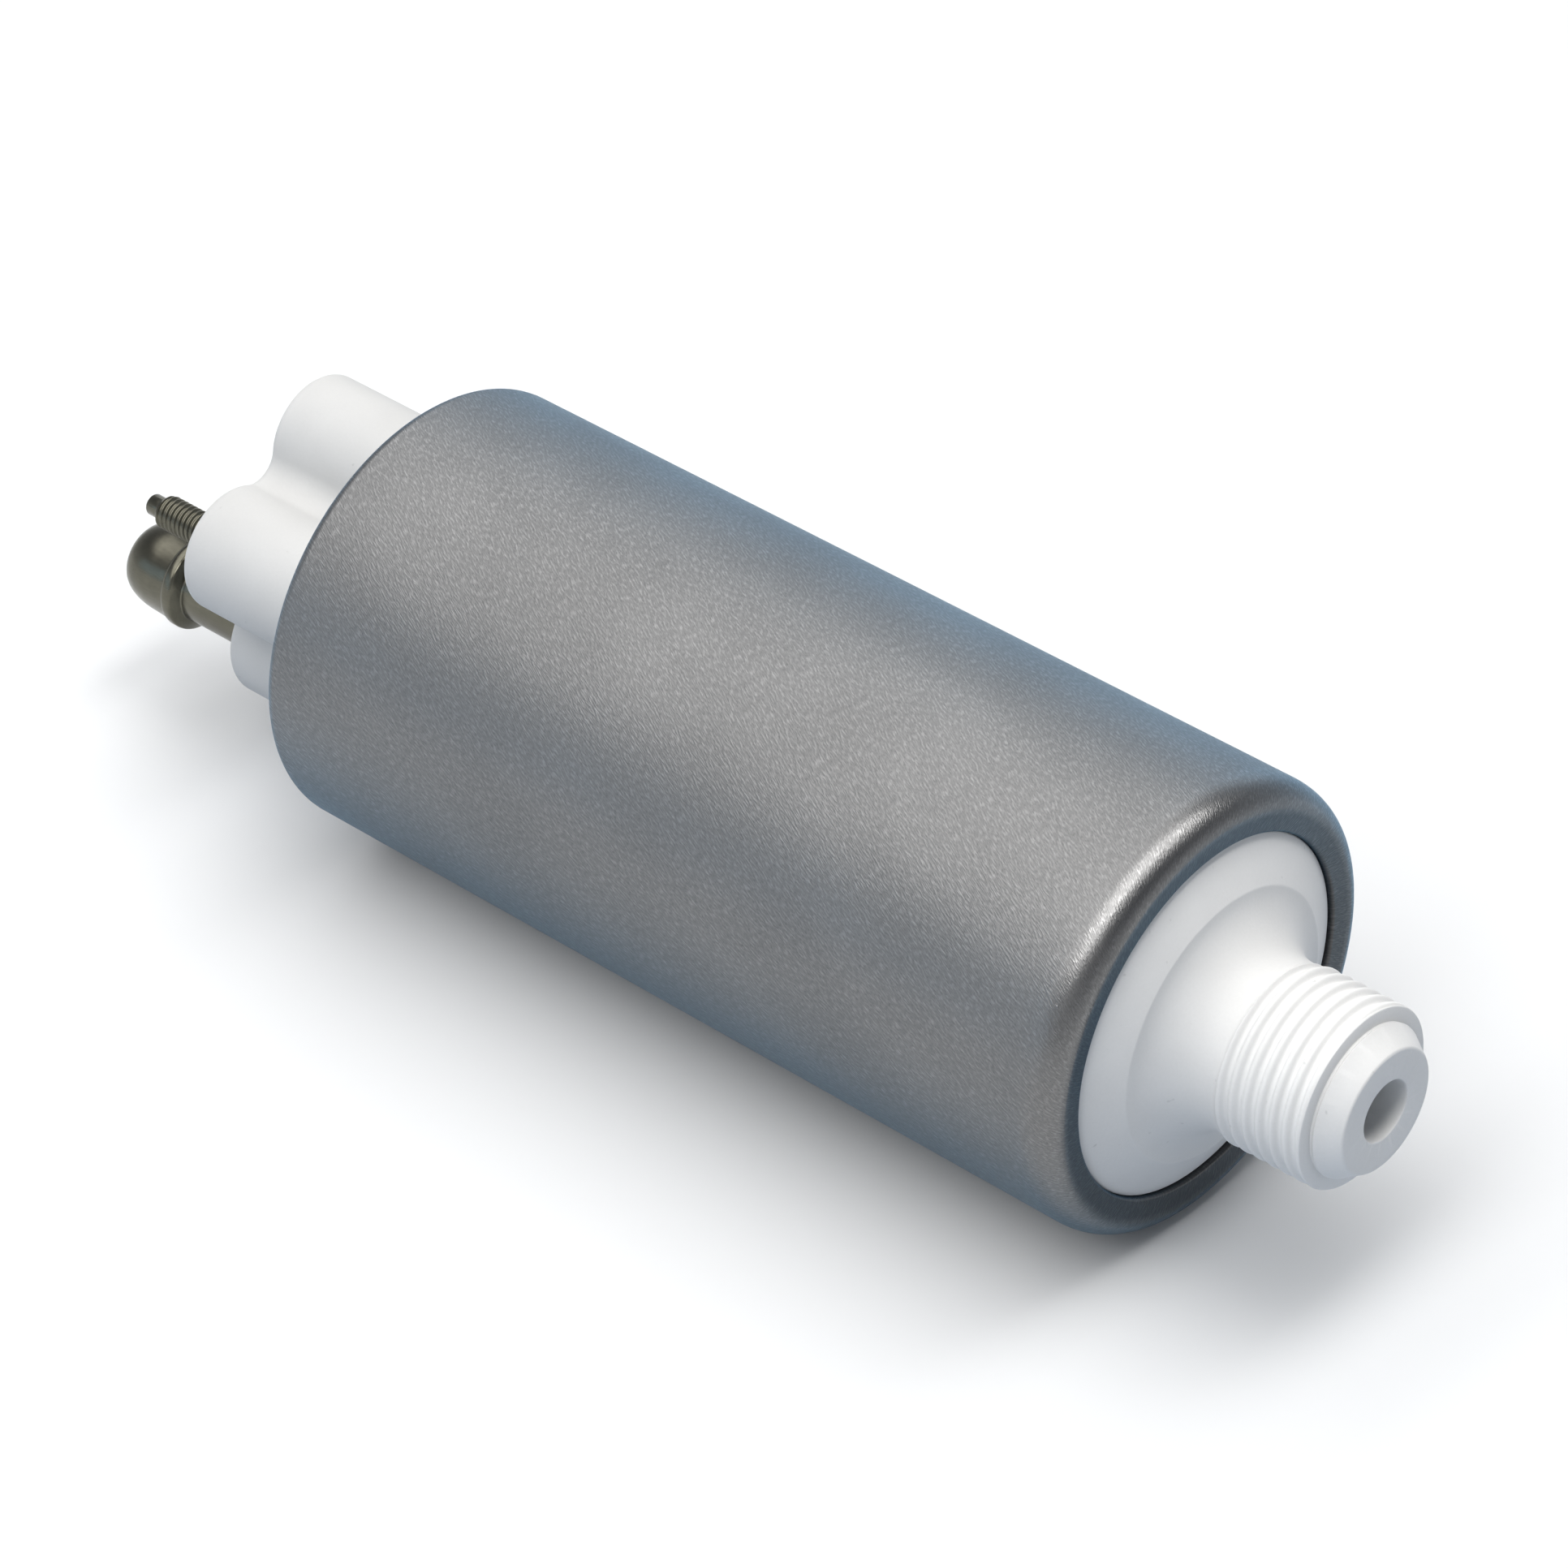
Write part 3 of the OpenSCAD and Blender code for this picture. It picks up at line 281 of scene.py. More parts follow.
def lay_on(material, pattern, low=0.3, high=0.7, shade=(1.0, 1.0), rough=(0.0, 0.0), depth=0.0):
    """Lets a pattern darken or lighten the colour, change the roughness and raise the skin by depth millimetres."""
    nodes, links = material.node_tree.nodes, material.node_tree.links
    shader = nodes["Principled BSDF"]
    if shade != (1.0, 1.0):
        tone = nodes.new("ShaderNodeMapRange")
        for name, value in (("From Min", low), ("From Max", high), ("To Min", shade[0]), ("To Max", shade[1])):
            tone.inputs[name].default_value = value
        blend = nodes.new("ShaderNodeMix")
        blend.data_type = "RGBA"
        blend.blend_type = "MULTIPLY"
        blend.inputs["Factor"].default_value = 1.0
        colour = shader.inputs["Base Color"]
        if colour.is_linked:
            links.new(colour.links[0].from_socket, blend.inputs["A"])
        else:
            blend.inputs["A"].default_value = colour.default_value
        links.new(pattern, tone.inputs["Value"])
        links.new(tone.outputs["Result"], blend.inputs["B"])
        links.new(blend.outputs["Result"], colour)
    if rough != (0.0, 0.0):
        dull = nodes.new("ShaderNodeMapRange")
        was = shader.inputs["Roughness"]
        base = 0.0 if was.is_linked else was.default_value
        for name, value in (("From Min", low), ("From Max", high), ("To Min", base + rough[0])):
            dull.inputs[name].default_value = value
        dull.inputs["To Max"].default_value = base + rough[1]
        links.new(pattern, dull.inputs["Value"])
        dulled = dull.outputs["Result"]
        if was.is_linked:
            both = nodes.new("ShaderNodeMath")
            links.new(was.links[0].from_socket, both.inputs[0])
            links.new(dulled, both.inputs[1])
            dulled = both.outputs["Value"]
        links.new(dulled, was)
    if depth:
        relief = nodes.new("ShaderNodeBump")
        relief.inputs["Distance"].default_value = depth * MM
        if shader.inputs["Normal"].is_linked:
            links.new(shader.inputs["Normal"].links[0].from_socket, relief.inputs["Normal"])
        links.new(pattern, relief.inputs["Height"])
        links.new(relief.outputs["Normal"], shader.inputs["Normal"])


can_finish = finish("satin_steel", (0.195, 0.195, 0.195), 1.0, 0.44)
# Painted reflection: the steel's glancing reflections are tinted cool blue.
can_finish.node_tree.nodes["Principled BSDF"].inputs["Specular Tint"].default_value = (0.55, 0.78, 1.0, 1)
flecks = noise(can_finish, wrap_of(can_finish, CAN_R, stretch=(1.3, 6.2), aslant=FLECK_ANGLE), 1.0)
lay_on(can_finish, flecks, 0.46, 0.74, shade=(0.93, 1.3), rough=(0.02, -0.08), depth=0.03)
pits = noise(can_finish, wrap_of(can_finish, CAN_R, stretch=(3.0, 8.0), aslant=FLECK_ANGLE), 1.0)
lay_on(can_finish, pits, 0.3, 0.5, shade=(0.82, 1.0), depth=0.01)
handling = noise(can_finish, wrap_of(can_finish, CAN_R, stretch=(0.05, 0.09), aslant=20), 3.0, 0.6)
lay_on(can_finish, handling, 0.35, 0.65, shade=(0.97, 1.03), rough=(0.03, -0.03))
can_nodes, can_links = can_finish.node_tree.nodes, can_finish.node_tree.links
can_place = can_nodes.new("ShaderNodeSeparateXYZ")
can_links.new(place_of(can_finish), can_place.inputs["Vector"])
lay_on(can_finish, can_place.outputs["X"], 43.5, 46.0, rough=(0.0, -0.08))
# Painted shade: the rolled lips at both ends are darkened, to less than half their colour inside 19.7 mm from the
# axis.
painted_shade_radius = can_nodes.new("ShaderNodeVectorMath")
painted_shade_radius.operation = "LENGTH"
can_links.new(place_of(can_finish, (0, 1, 1)), painted_shade_radius.inputs[0])
lay_on(can_finish, painted_shade_radius.outputs["Value"], 19.7, 20.9, shade=(0.47, 1.0))
can.data.materials.append(can_finish)
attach(can, "housing")
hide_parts("shell")

# Inlet cap
# White acetal moulding rolled into the front of the can: a flange with a seal groove, a domed disc, a flared neck
# and an M18 x 1.5 thread moulded with soft crests. The thread is screwed from one pitch, and the rest drawn from it.
THREAD_R = 9.0
THREAD_ROOT_R = 8.5
THREAD_PITCH = 1.5
THREAD_GROOVE_X = 56.6125
THREAD_LOW = 56.1
THREAD_HIGH = 65.15
THREAD_CREST = 1.0
THREAD_STEPS = 160
PITCH_PARTS = 16
CAP_FLOOR_X = 43.8


def pick(piece, x):
    """In edit mode, selects the vertices at a place along X, in millimetres."""
    shape = bmesh.from_edit_mesh(piece.data)
    bpy.ops.mesh.select_all(action="DESELECT")
    for vertex in shape.verts:
        vertex.select = abs(vertex.co.x - x * MM) < SAME_PLACE
    shape.select_flush(True)
    bmesh.update_edit_mesh(piece.data)


def pull(piece, rings, middle=(0.0, 0.0)):
    """Extrudes the selected loop through circles given as (x, radius) in millimetres."""
    y, z = middle
    for x, radius in rings:
        bpy.ops.mesh.extrude_edges_move()
        shape = bmesh.from_edit_mesh(piece.data)
        for vertex in shape.verts:
            if vertex.select:
                out = Vector((vertex.co.y - y * MM, vertex.co.z - z * MM)).normalized() * radius * MM
                vertex.co = (x * MM, out.x + y * MM, out.y + z * MM)
        bmesh.update_edit_mesh(piece.data)


def screw(name, low, high, groove_x, pitch, crest_r, root_r, steps, middle=(0.0, 0.0)):
    """Winds one pitch of soft thread into a helix, cut square at both ends, and stays in edit mode."""
    y, z = middle
    start = low - pitch
    points = []
    for i in range(PITCH_PARTS + 1):
        x = start + pitch * i / PITCH_PARTS
        wave = math.tanh(THREAD_CREST * math.cos(2 * math.pi * (x - groove_x) / pitch)) / math.tanh(THREAD_CREST)
        points.append((x, 0, (crest_r + root_r) / 2 - wave * (crest_r - root_r) / 2))
    piece = draw(name, points)
    bpy.ops.object.mode_set(mode="OBJECT")
    helix = piece.modifiers.new("helix", "SCREW")
    helix.axis = "X"
    helix.angle = 2 * math.pi
    helix.screw_offset = pitch * MM
    helix.iterations = math.ceil((high - low) / pitch) + 1
    helix.steps = helix.render_steps = steps
    bpy.ops.object.modifier_apply(modifier=helix.name)
    bpy.ops.object.mode_set(mode="EDIT")
    bpy.ops.mesh.select_all(action="SELECT")
    bpy.ops.mesh.remove_doubles(threshold=SAME_PLACE)
    bpy.ops.mesh.select_all(action="SELECT")
    bpy.ops.transform.translate(value=(0, y * MM, z * MM))
    bpy.ops.mesh.bisect(plane_co=(low * MM, 0, 0), plane_no=(1, 0, 0), clear_inner=True, threshold=1e-7)
    bpy.ops.mesh.select_all(action="SELECT")
    bpy.ops.mesh.bisect(plane_co=(high * MM, 0, 0), plane_no=(1, 0, 0), clear_outer=True, threshold=1e-7)
    return piece


inlet_cap = screw(
    "threaded_cap", THREAD_LOW, THREAD_HIGH, THREAD_GROOVE_X, THREAD_PITCH, THREAD_R, THREAD_ROOT_R, THREAD_STEPS
)
pull(
    inlet_cap,
    [(65.3, 8.96), (65.42, 8.9), (65.5, 8.75), (65.5, 7.5), (65.7, 7.42), (65.9, 7.58), (66.1, 7.52), (67.6, 6.5)]
    + arc(67.75, 5.95, 0.4, 60, 0, 4)
    + [(68.15, 3.3), (68.08, 3.12), (67.85, 3.0), (CAP_FLOOR_X, 3.0)],
)
pick(inlet_cap, THREAD_LOW)
pull(
    inlet_cap,
    [(55.85, 8.72), (55.6, 8.6), (55.2, 8.6)]
    + arc(54.9, 13.6, 5.0, 270, 184, 16)
    + arc(49.3, 13.45, 0.6, 0, 27.9, 3)
    + arc(47.4, 17.58, 0.35, 27.9, 90, 4)
    + [(46.8, 17.93), (46.8, 20.6), (46.55, 20.85), (45.0, 20.85), (45.0, 19.1), (42.6, 19.1), (42.6, 20.85)]
    + [(41.05, 20.85), (40.8, 20.6), (40.8, 15.0), (CAP_FLOOR_X, 15.0)],
)
pick(inlet_cap, CAP_FLOOR_X)
bpy.ops.mesh.bridge_edge_loops()
smooth(inlet_cap)
acetal = finish("acetal", (0.72, 0.72, 0.712), 0.0, 0.6)
flow = noise(acetal, place_of(acetal, (0.12, 0.16, 0.16)), 2.0)
lay_on(acetal, flow, shade=(0.975, 1.02), rough=(-0.04, 0.05))
skin = noise(acetal, place_of(acetal, (3.5, 3.5, 3.5)), 3.0, 0.6)
lay_on(acetal, skin, shade=(0.985, 1.01), depth=0.01)
specks = noise(acetal, place_of(acetal, (1.3, 1.3, 1.3)), 0.0)
lay_on(acetal, specks, 0.1, 0.17, shade=(0.82, 1.0))
inlet_cap.data.materials.append(acetal)
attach(inlet_cap, "housing")
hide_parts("inlet_cap")

# Outlet cap
# White acetal moulding rolled into the rear of the can. Four round towers joined by fillets stand on it, for the
# relief valve, the two terminals and the outlet. Two square guides hold the brushes, and a boss holds the bush.
TOWER_END = -66.6
TOWER_FOOT = -47.0
TOWER_EDGE_R = 0.9
TOWER_EDGE_PARTS = 6
TOWER_PARTS = 56
FILLET_R = 2.4
FILLET_PARTS = 14
RELIEF_AT = (3.276, 10.081)
POSITIVE_AT = (-8.914, 2.983)
OUTLET_AT = (-3.121, -9.606)
NEGATIVE_AT = (8.914, -2.983)
TOWERS = [(RELIEF_AT, 6.2), (POSITIVE_AT, 6.5), (OUTLET_AT, 6.9), (NEGATIVE_AT, 6.5)]
BRUSH_ANGLES = {POSITIVE_AT: 161.5, NEGATIVE_AT: 341.5}
WELL_W = 5.4
WELL_REAR = -57.0
WELL_FRONT = -34.0


def fillet_middle(near, far):
    """Centre of the fillet that touches two neighbouring towers from outside. They run round from +Y to +Z."""
    (a, a_r), (b, b_r) = near, far
    a, b = Vector(a), Vector(b)
    span = (b - a).length
    to_a, to_b = a_r + FILLET_R, b_r + FILLET_R
    along = (span * span + to_a * to_a - to_b * to_b) / (2 * span)
    out = math.sqrt(to_a * to_a - along * along)
    way = (b - a) / span
    return a + way * along + Vector((way.y, -way.x)) * out


def bow(middle, radius, start, end, parts):
    """Points (y, z) of an arc about middle from the direction of start to that of end, the short way if parts < 0."""
    a = math.atan2(start[1] - middle[1], start[0] - middle[0])
    b = math.atan2(end[1] - middle[1], end[0] - middle[0])
    sweep = (b - a) % (2 * math.pi)
    if parts < 0:
        sweep, parts = sweep - 2 * math.pi, -parts
    turns = [a + sweep * i / parts for i in range(parts)]
    return [(middle[0] + radius * math.cos(t), middle[1] + radius * math.sin(t)) for t in turns]


def block(name, outline, low, high):
    """A solid with an outline of (y, z) points between two places along X; stays in edit mode."""
    piece = draw(name, [(high, y, z) for y, z in outline + outline[:1]])
    bpy.ops.mesh.select_all(action="SELECT")
    bpy.ops.mesh.remove_doubles(threshold=SAME_PLACE)
    bpy.ops.mesh.select_all(action="SELECT")
    bpy.ops.mesh.edge_face_add()
    bpy.ops.mesh.extrude_region_move(TRANSFORM_OT_translate={"value": ((low - high) * MM, 0, 0)})
    return piece


def take(*pieces):
    """Selects these pieces alone, with the first one active."""
    bpy.ops.object.select_all(action="DESELECT")
    for piece in pieces:
        piece.select_set(True)
    bpy.context.view_layer.objects.active = pieces[0]


def carve(piece, other, operation="DIFFERENCE"):
    """Cuts the other solid from the piece, or welds it on with UNION, and removes it."""
    take(piece)
    cut = piece.modifiers.new("cut", "BOOLEAN")
    cut.operation = operation
    cut.solver = "EXACT"
    cut.object = other
    bpy.ops.object.modifier_apply(modifier=cut.name)
    bpy.data.objects.remove(other)


outlet_cap = turn(
    "towered_cap",
    [(-43.9, 0), (-43.9, 3.55), (-37.8, 3.55), (-37.5, 3.8), (-37.5, 5.3), (-37.7, 5.5), (-42.3, 5.5), (-42.3, 18.45)]
    + [(-36.3, 18.45), (-36.0, 18.7), (-36.0, 20.6), (-36.25, 20.85), (-43.35, 20.85), (-43.35, 19.1), (-45.75, 19.1)]
    + [(-45.75, 20.85), (-46.55, 20.85), (-46.8, 20.6), (-46.8, 17.5)]
    + arc(-48.9, 17.0, 0.5, 90, 180, 5)
    + [(-49.4, 16.9), (-49.4, 0)],
)
fillets = [fillet_middle(TOWERS[i], TOWERS[(i + 1) % 4]) for i in range(4)]
outline = []
for i, (middle, radius) in enumerate(TOWERS):
    outline += bow(middle, radius, fillets[i - 1], fillets[i], TOWER_PARTS)
    outline += bow(fillets[i], FILLET_R, middle, TOWERS[(i + 1) % 4][0], -FILLET_PARTS)
towers = block("towers", outline, TOWER_END + TOWER_EDGE_R, TOWER_FOOT)
bpy.ops.mesh.select_all(action="SELECT")
bpy.ops.mesh.normals_make_consistent(inside=False)
pick(towers, TOWER_END + TOWER_EDGE_R)
for i in range(TOWER_EDGE_PARTS):
    near, far = (math.radians(90 * part / TOWER_EDGE_PARTS) for part in (i, i + 1))
    rise = (math.sin(far) - math.sin(near)) * TOWER_EDGE_R * MM
    inward = (math.cos(near) - math.cos(far)) * TOWER_EDGE_R * MM
    bpy.ops.mesh.inset(thickness=inward, depth=rise)
smooth(towers)
carve(outlet_cap, towers, "UNION")
for middle in BRUSH_ANGLES:
    guide = turn("guide", [(-46.8, 0), (-46.8, 4.9), (-34.8, 4.9), (-34.5, 4.6), (-34.5, 0)], middle, steps=64)
    carve(outlet_cap, guide, "UNION")
for middle, angle in BRUSH_ANGLES.items():
    corners = [Vector((math.cos(a), math.sin(a))) for a in (math.radians(angle + 45 + 90 * i) for i in range(4))]
    well = [tuple(Vector(middle) + corner * WELL_W / math.sqrt(2)) for corner in corners]
    carve(outlet_cap, smooth(block("well", well, WELL_REAR, WELL_FRONT)))
    hole = turn("hole", [(-67.0, 0), (-67.0, 2.8), (-66.3, 2.15), (-56.9, 2.15), (-56.9, 0)], middle, steps=48)
    carve(outlet_cap, hole)
carve(
    outlet_cap,
    turn(
        "hole",
        [(-67.0, 0), (-67.0, 5.2), (-66.35, 4.55), (-54.53, 4.55), (-54.53, 4.0), (-47.9, 4.0), (-47.5, 3.6)]
        + [(-47.5, 2.4), (-41.9, 2.4), (-41.9, 0)],
        OUTLET_AT,
        steps=64,
    ),
)
carve(
    outlet_cap,
    turn(
        "hole",
        [(-67.0, 0), (-67.0, 4.7), (-66.35, 4.05), (-62.6, 4.05), (-62.6, 3.4), (-48.9, 3.4), (-46.9, 1.4)]
        + [(-41.9, 1.4), (-41.9, 0)],
        RELIEF_AT,
        steps=64,
    ),
)
bpy.ops.object.mode_set(mode="EDIT")
smooth(outlet_cap)
# Painted shade: the outlet cap's acetal is a copy of the inlet cap's, darkened to about seven tenths all over, with a
# faint cloudy variation.
shaded_acetal = acetal.copy()
shaded_acetal.name = "shaded_acetal"
painted_shade = noise(shaded_acetal, place_of(shaded_acetal, (0.08, 0.1, 0.1)), 2.0)
lay_on(shaded_acetal, painted_shade, shade=(0.69, 0.73))
outlet_cap.data.materials.clear()
outlet_cap.data.materials.append(shaded_acetal)
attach(outlet_cap, "housing")
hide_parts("outlet_cap")

# Seals
# Black rubber rings in the grooves of the two caps, squeezed by the can's bore.
rubber = finish("rubber", (0.02, 0.02, 0.021), 0.0, 0.62)
lay_on(rubber, noise(rubber, place_of(rubber, (4, 4, 4)), 3.0), shade=(0.7, 1.5), rough=(-0.08, 0.08), depth=0.01)
lay_on(rubber, noise(rubber, place_of(rubber, (0.3, 0.3, 0.3)), 3.0), shade=(0.85, 1.2), rough=(-0.05, 0.05))


def dress(material, *names):
    """Gives CAD nodes their finish."""
    for name in names:
        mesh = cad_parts[name].data
        mesh.materials.clear()
        mesh.materials.append(material)


dress(rubber, "inlet_seal", "outlet_seal", "check_poppet_face")

# Pump plates
# Two plates and the ring between them, pressed and sintered from steel powder, so fine dark pores show all over.
# Their faces are ground, which leaves faint straight lines. The pump's stack is clamped by the can's ends.
sintered_steel = finish("sintered_steel", (0.2, 0.2, 0.205), 1.0, 0.46)
pores = noise(sintered_steel, place_of(sintered_steel, (5, 5, 5)), 2.0, 0.7)
lay_on(sintered_steel, pores, 0.3, 0.45, shade=(0.35, 1.0), rough=(0.2, 0.0), depth=0.02)
powder = noise(sintered_steel, place_of(sintered_steel, (1.2, 1.2, 1.2)), 3.0)
lay_on(sintered_steel, powder, shade=(0.85, 1.15), rough=(-0.04, 0.04))
ground = noise(sintered_steel, place_of(sintered_steel, (0.2, 0.15, 9.0)), 2.0)
lay_on(sintered_steel, ground, shade=(0.95, 1.05), depth=0.003)
dress(sintered_steel, "inlet_plate", "eccentric_ring", "outlet_plate")

# Rotors
# Inner and outer gerotor rings of sintered and hardened steel. Their faces are lapped to a dull shine with fine
# crossed scratches, and a few pores are left open.
rotor_steel = finish("rotor_steel", (0.3, 0.295, 0.285), 1.0, 0.3)
lapped = noise(rotor_steel, place_of(rotor_steel, (0.5, 6.0, 0.5)), 3.0)
lay_on(rotor_steel, lapped, shade=(0.92, 1.08), rough=(-0.05, 0.06), depth=0.003)
crossed = noise(rotor_steel, place_of(rotor_steel, (0.5, 0.5, 6.0)), 3.0)
lay_on(rotor_steel, crossed, shade=(0.93, 1.07), depth=0.003)
open_pores = noise(rotor_steel, place_of(rotor_steel, (6, 6, 6)), 1.0)
lay_on(rotor_steel, open_pores, 0.24, 0.32, shade=(0.3, 1.0), depth=0.015)
dress(rotor_steel, "outer_rotor", "inner_rotor")

# Shaft and pins
# Ground and polished steel: the shaft, the two dowel pins through the pump's stack and the relief valve's ball.
# Fine rings run round the shaft from the grinding wheel.
shaft_steel = finish("shaft_steel", (0.56, 0.565, 0.57), 1.0, 0.2)
rings = noise(shaft_steel, place_of(shaft_steel, (9.0, 0.1, 0.1)), 3.0, 0.7)
lay_on(shaft_steel, rings, shade=(0.9, 1.08), rough=(0.1, -0.04), depth=0.002)
smears = noise(shaft_steel, place_of(shaft_steel, (0.5, 1.2, 1.2)), 4.0)
lay_on(shaft_steel, smears, shade=(0.93, 1.05), rough=(0.05, -0.03))
dress(shaft_steel, "shaft", "dowel_pins", "relief_ball")

# Flux ring
# Rolled tube of soft steel that carries the magnets' field round the motor, phosphated to a dark mottled grey.
flux_steel = finish("flux_steel", (0.09, 0.092, 0.096), 0.7, 0.55)
crystals = noise(flux_steel, place_of(flux_steel, (2.4, 2.4, 2.4)), 4.0, 0.7)
lay_on(flux_steel, crystals, shade=(0.6, 1.6), rough=(0.08, -0.08), depth=0.006)
rolled = noise(flux_steel, wrap_of(flux_steel, 20.85, stretch=(0.15, 1.2)), 3.0)
lay_on(flux_steel, rolled, shade=(0.85, 1.15))
dress(flux_steel, "flux_ring")

# Magnets
# Two ferrite arcs, pressed and fired, then ground on their curved faces: matt charcoal with a fine gritty skin.
ferrite = finish("ferrite", (0.045, 0.045, 0.048), 0.0, 0.68)
grit = noise(ferrite, place_of(ferrite, (6, 6, 6)), 3.0, 0.7)
lay_on(ferrite, grit, shade=(0.6, 1.6), rough=(-0.08, 0.08), depth=0.02)
ground_arc = noise(ferrite, place_of(ferrite, (5.0, 0.2, 0.2)), 2.0)
lay_on(ferrite, ground_arc, shade=(0.88, 1.15), depth=0.005)
dress(ferrite, "magnet_upper", "magnet_lower")

# Magnet clips
# Bent strips of spring steel that hold the magnets apart, drawn bright, as the springs' wire is.
spring_steel = finish("spring_steel", (0.5, 0.5, 0.51), 1.0, 0.3)
heat = noise(spring_steel, place_of(spring_steel, (2, 2, 2)), 3.0)
lay_on(spring_steel, heat, shade=(0.8, 1.15), rough=(0.08, -0.05))
draw_lines = noise(spring_steel, place_of(spring_steel, (1.0, 12, 12)), 2.0)
lay_on(spring_steel, draw_lines, shade=(0.94, 1.06), depth=0.004)
dress(spring_steel, "magnet_clips")

# Armature core
# A stack of stamped steel sheets, half a millimetre thick, pressed on the shaft. Each sheet is a little brighter or
# darker than the next, and a fine gap parts them.
SHEET_T = 0.5
lamination = finish("lamination", (0.16, 0.162, 0.168), 0.9, 0.42)
sheet_nodes, sheet_links = lamination.node_tree.nodes, lamination.node_tree.links
sheet_place = sheet_nodes.new("ShaderNodeSeparateXYZ")
sheet_links.new(place_of(lamination, (1 / SHEET_T, 1, 1)), sheet_place.inputs["Vector"])
sheet_gap = sheet_nodes.new("ShaderNodeMath")
sheet_gap.operation = "PINGPONG"
sheet_gap.inputs[1].default_value = 0.5
sheet_links.new(sheet_place.outputs["X"], sheet_gap.inputs[0])
lay_on(lamination, sheet_gap.outputs["Value"], 0.0, 0.12, shade=(0.35, 1.0), rough=(0.2, 0.0), depth=0.05)
sheet_number = sheet_nodes.new("ShaderNodeMath")
sheet_number.operation = "ROUND"
sheet_links.new(sheet_place.outputs["X"], sheet_number.inputs[0])
sheet_tone = sheet_nodes.new("ShaderNodeTexWhiteNoise")
sheet_tone.noise_dimensions = "1D"
sheet_links.new(sheet_number.outputs["Value"], sheet_tone.inputs["W"])
lay_on(lamination, sheet_tone.outputs["Value"], 0.0, 1.0, shade=(0.8, 1.2), rough=(0.06, -0.06))
stamped = noise(lamination, place_of(lamination, (2, 4, 4)), 4.0)
lay_on(lamination, stamped, shade=(0.85, 1.15), rough=(0.06, -0.04), depth=0.004)
dress(lamination, "armature_core")

# Windings
# Eight coils of enamelled copper wire, each laid through two of the core's slots and bent round the shaft at both
# ends, where every coil climbs over the next. One coil is drawn and copied round, and then all are varnished.
SLOTS = 8
SLOT_AT_R = 9.4
SLOT_ROOM_R = 2.1
SLOT_ROWS = 4
COIL_SPAN = 135
COIL_TURNS = 20
COIL_WIRE_R = 0.25
COIL_PITCH = 0.56
END_OUTER_R = 12.3
END_LOW = 0.5
END_CLIMB = 2.9
END_RISE = 0.2
END_EVEN = 0.6
END_POINTS = 22
CORE_REAR = -20.0
CORE_MIDDLE = -2.0
CORE_FRONT = 16.0


def ease(value):
    """Goes softly from 0 to 1."""
    value = min(max(value, 0.0), 1.0)
    return value * value * (3 - 2 * value)


def end_turn(near, far, column, layer, core_end, way):
    """Points of one wire bent from its place (y, z) in one slot to that in the other, outside an end of the core."""
    from_r, to_r = math.hypot(*near), math.hypot(*far)
    from_a, to_a = math.atan2(near[1], near[0]), math.atan2(far[1], far[0])
    points = []
    for i in range(END_POINTS + 1):
        part = i / END_POINTS
        on = ease(part / END_RISE) * ease((1 - part) / END_RISE)
        end_r = END_OUTER_R - COIL_PITCH * column
        radius = end_r * on + (from_r if part < 0.5 else to_r) * (1 - on)
        angle = from_a + (to_a - from_a) * (END_EVEN * part + (1 - END_EVEN) * ease(part))
        height = (END_LOW + END_CLIMB * (1 - part) + 2 * COIL_WIRE_R * layer) * on
        points.append((core_end + way * height, radius * math.cos(angle), radius * math.sin(angle)))
    return points


rows = range(-SLOT_ROWS, SLOT_ROWS + 1)
places = [(row * COIL_PITCH, (step + row % 2 / 2) * COIL_PITCH) for row in rows for step in rows]
places = sorted((place for place in places if math.hypot(*place) < SLOT_ROOM_R), reverse=True)
span = math.radians(COIL_SPAN)
wires = []
for turn_number in range(COIL_TURNS):
    out, side = places[turn_number]
    near = (SLOT_AT_R + out, side)
    out, side = places[turn_number - COIL_TURNS]
    far = Vector((SLOT_AT_R + out, side))
    far = (far.x * math.cos(span) - far.y * math.sin(span), far.x * math.sin(span) + far.y * math.cos(span))
    column, layer = divmod(turn_number, 2)
    path = [(CORE_MIDDLE, *near)] + end_turn(near, far, column, layer, CORE_FRONT, 1)
    path += end_turn(near, far, column, layer, CORE_REAR, -1)[::-1] + [(CORE_MIDDLE, *near)]
    wires.append(draw("wire", path))
    bpy.ops.object.mode_set(mode="OBJECT")


def thicken(name, wires, wire_r, sides):
    """Joins drawn lines into one piece of round wire, and stays in edit mode."""
    take(*wires)
    bpy.ops.object.join()
    bpy.ops.object.convert(target="CURVE")
    piece = bpy.context.object
    piece.data.bevel_depth = wire_r * MM
    piece.data.bevel_resolution = sides
    piece.data.use_fill_caps = True
    bpy.ops.object.convert(target="MESH")
    piece = bpy.context.object
    piece.name = piece.data.name = name
    bpy.ops.object.mode_set(mode="EDIT")
    return piece


wound_coils = smooth(thicken("wound_coils", wires, COIL_WIRE_R, sides=1), angle=70)
coils = [wound_coils]
for i in range(1, SLOTS):
    take(wound_coils)
    bpy.ops.object.duplicate()
    coils.append(bpy.context.object)
    bpy.ops.object.mode_set(mode="EDIT")
    bpy.ops.mesh.select_all(action="SELECT")
    bpy.ops.transform.rotate(value=2 * math.pi * i / SLOTS, orient_axis="X", center_override=(0, 0, 0))
    bpy.ops.object.mode_set(mode="OBJECT")
take(*coils)
bpy.ops.object.join()
enamelled_copper = finish("enamelled_copper", (0.44, 0.14, 0.05), 0.8, 0.3)
varnish = noise(enamelled_copper, place_of(enamelled_copper, (0.6, 0.6, 0.6)), 4.0)
lay_on(enamelled_copper, varnish, shade=(0.6, 1.25), rough=(0.12, -0.08))
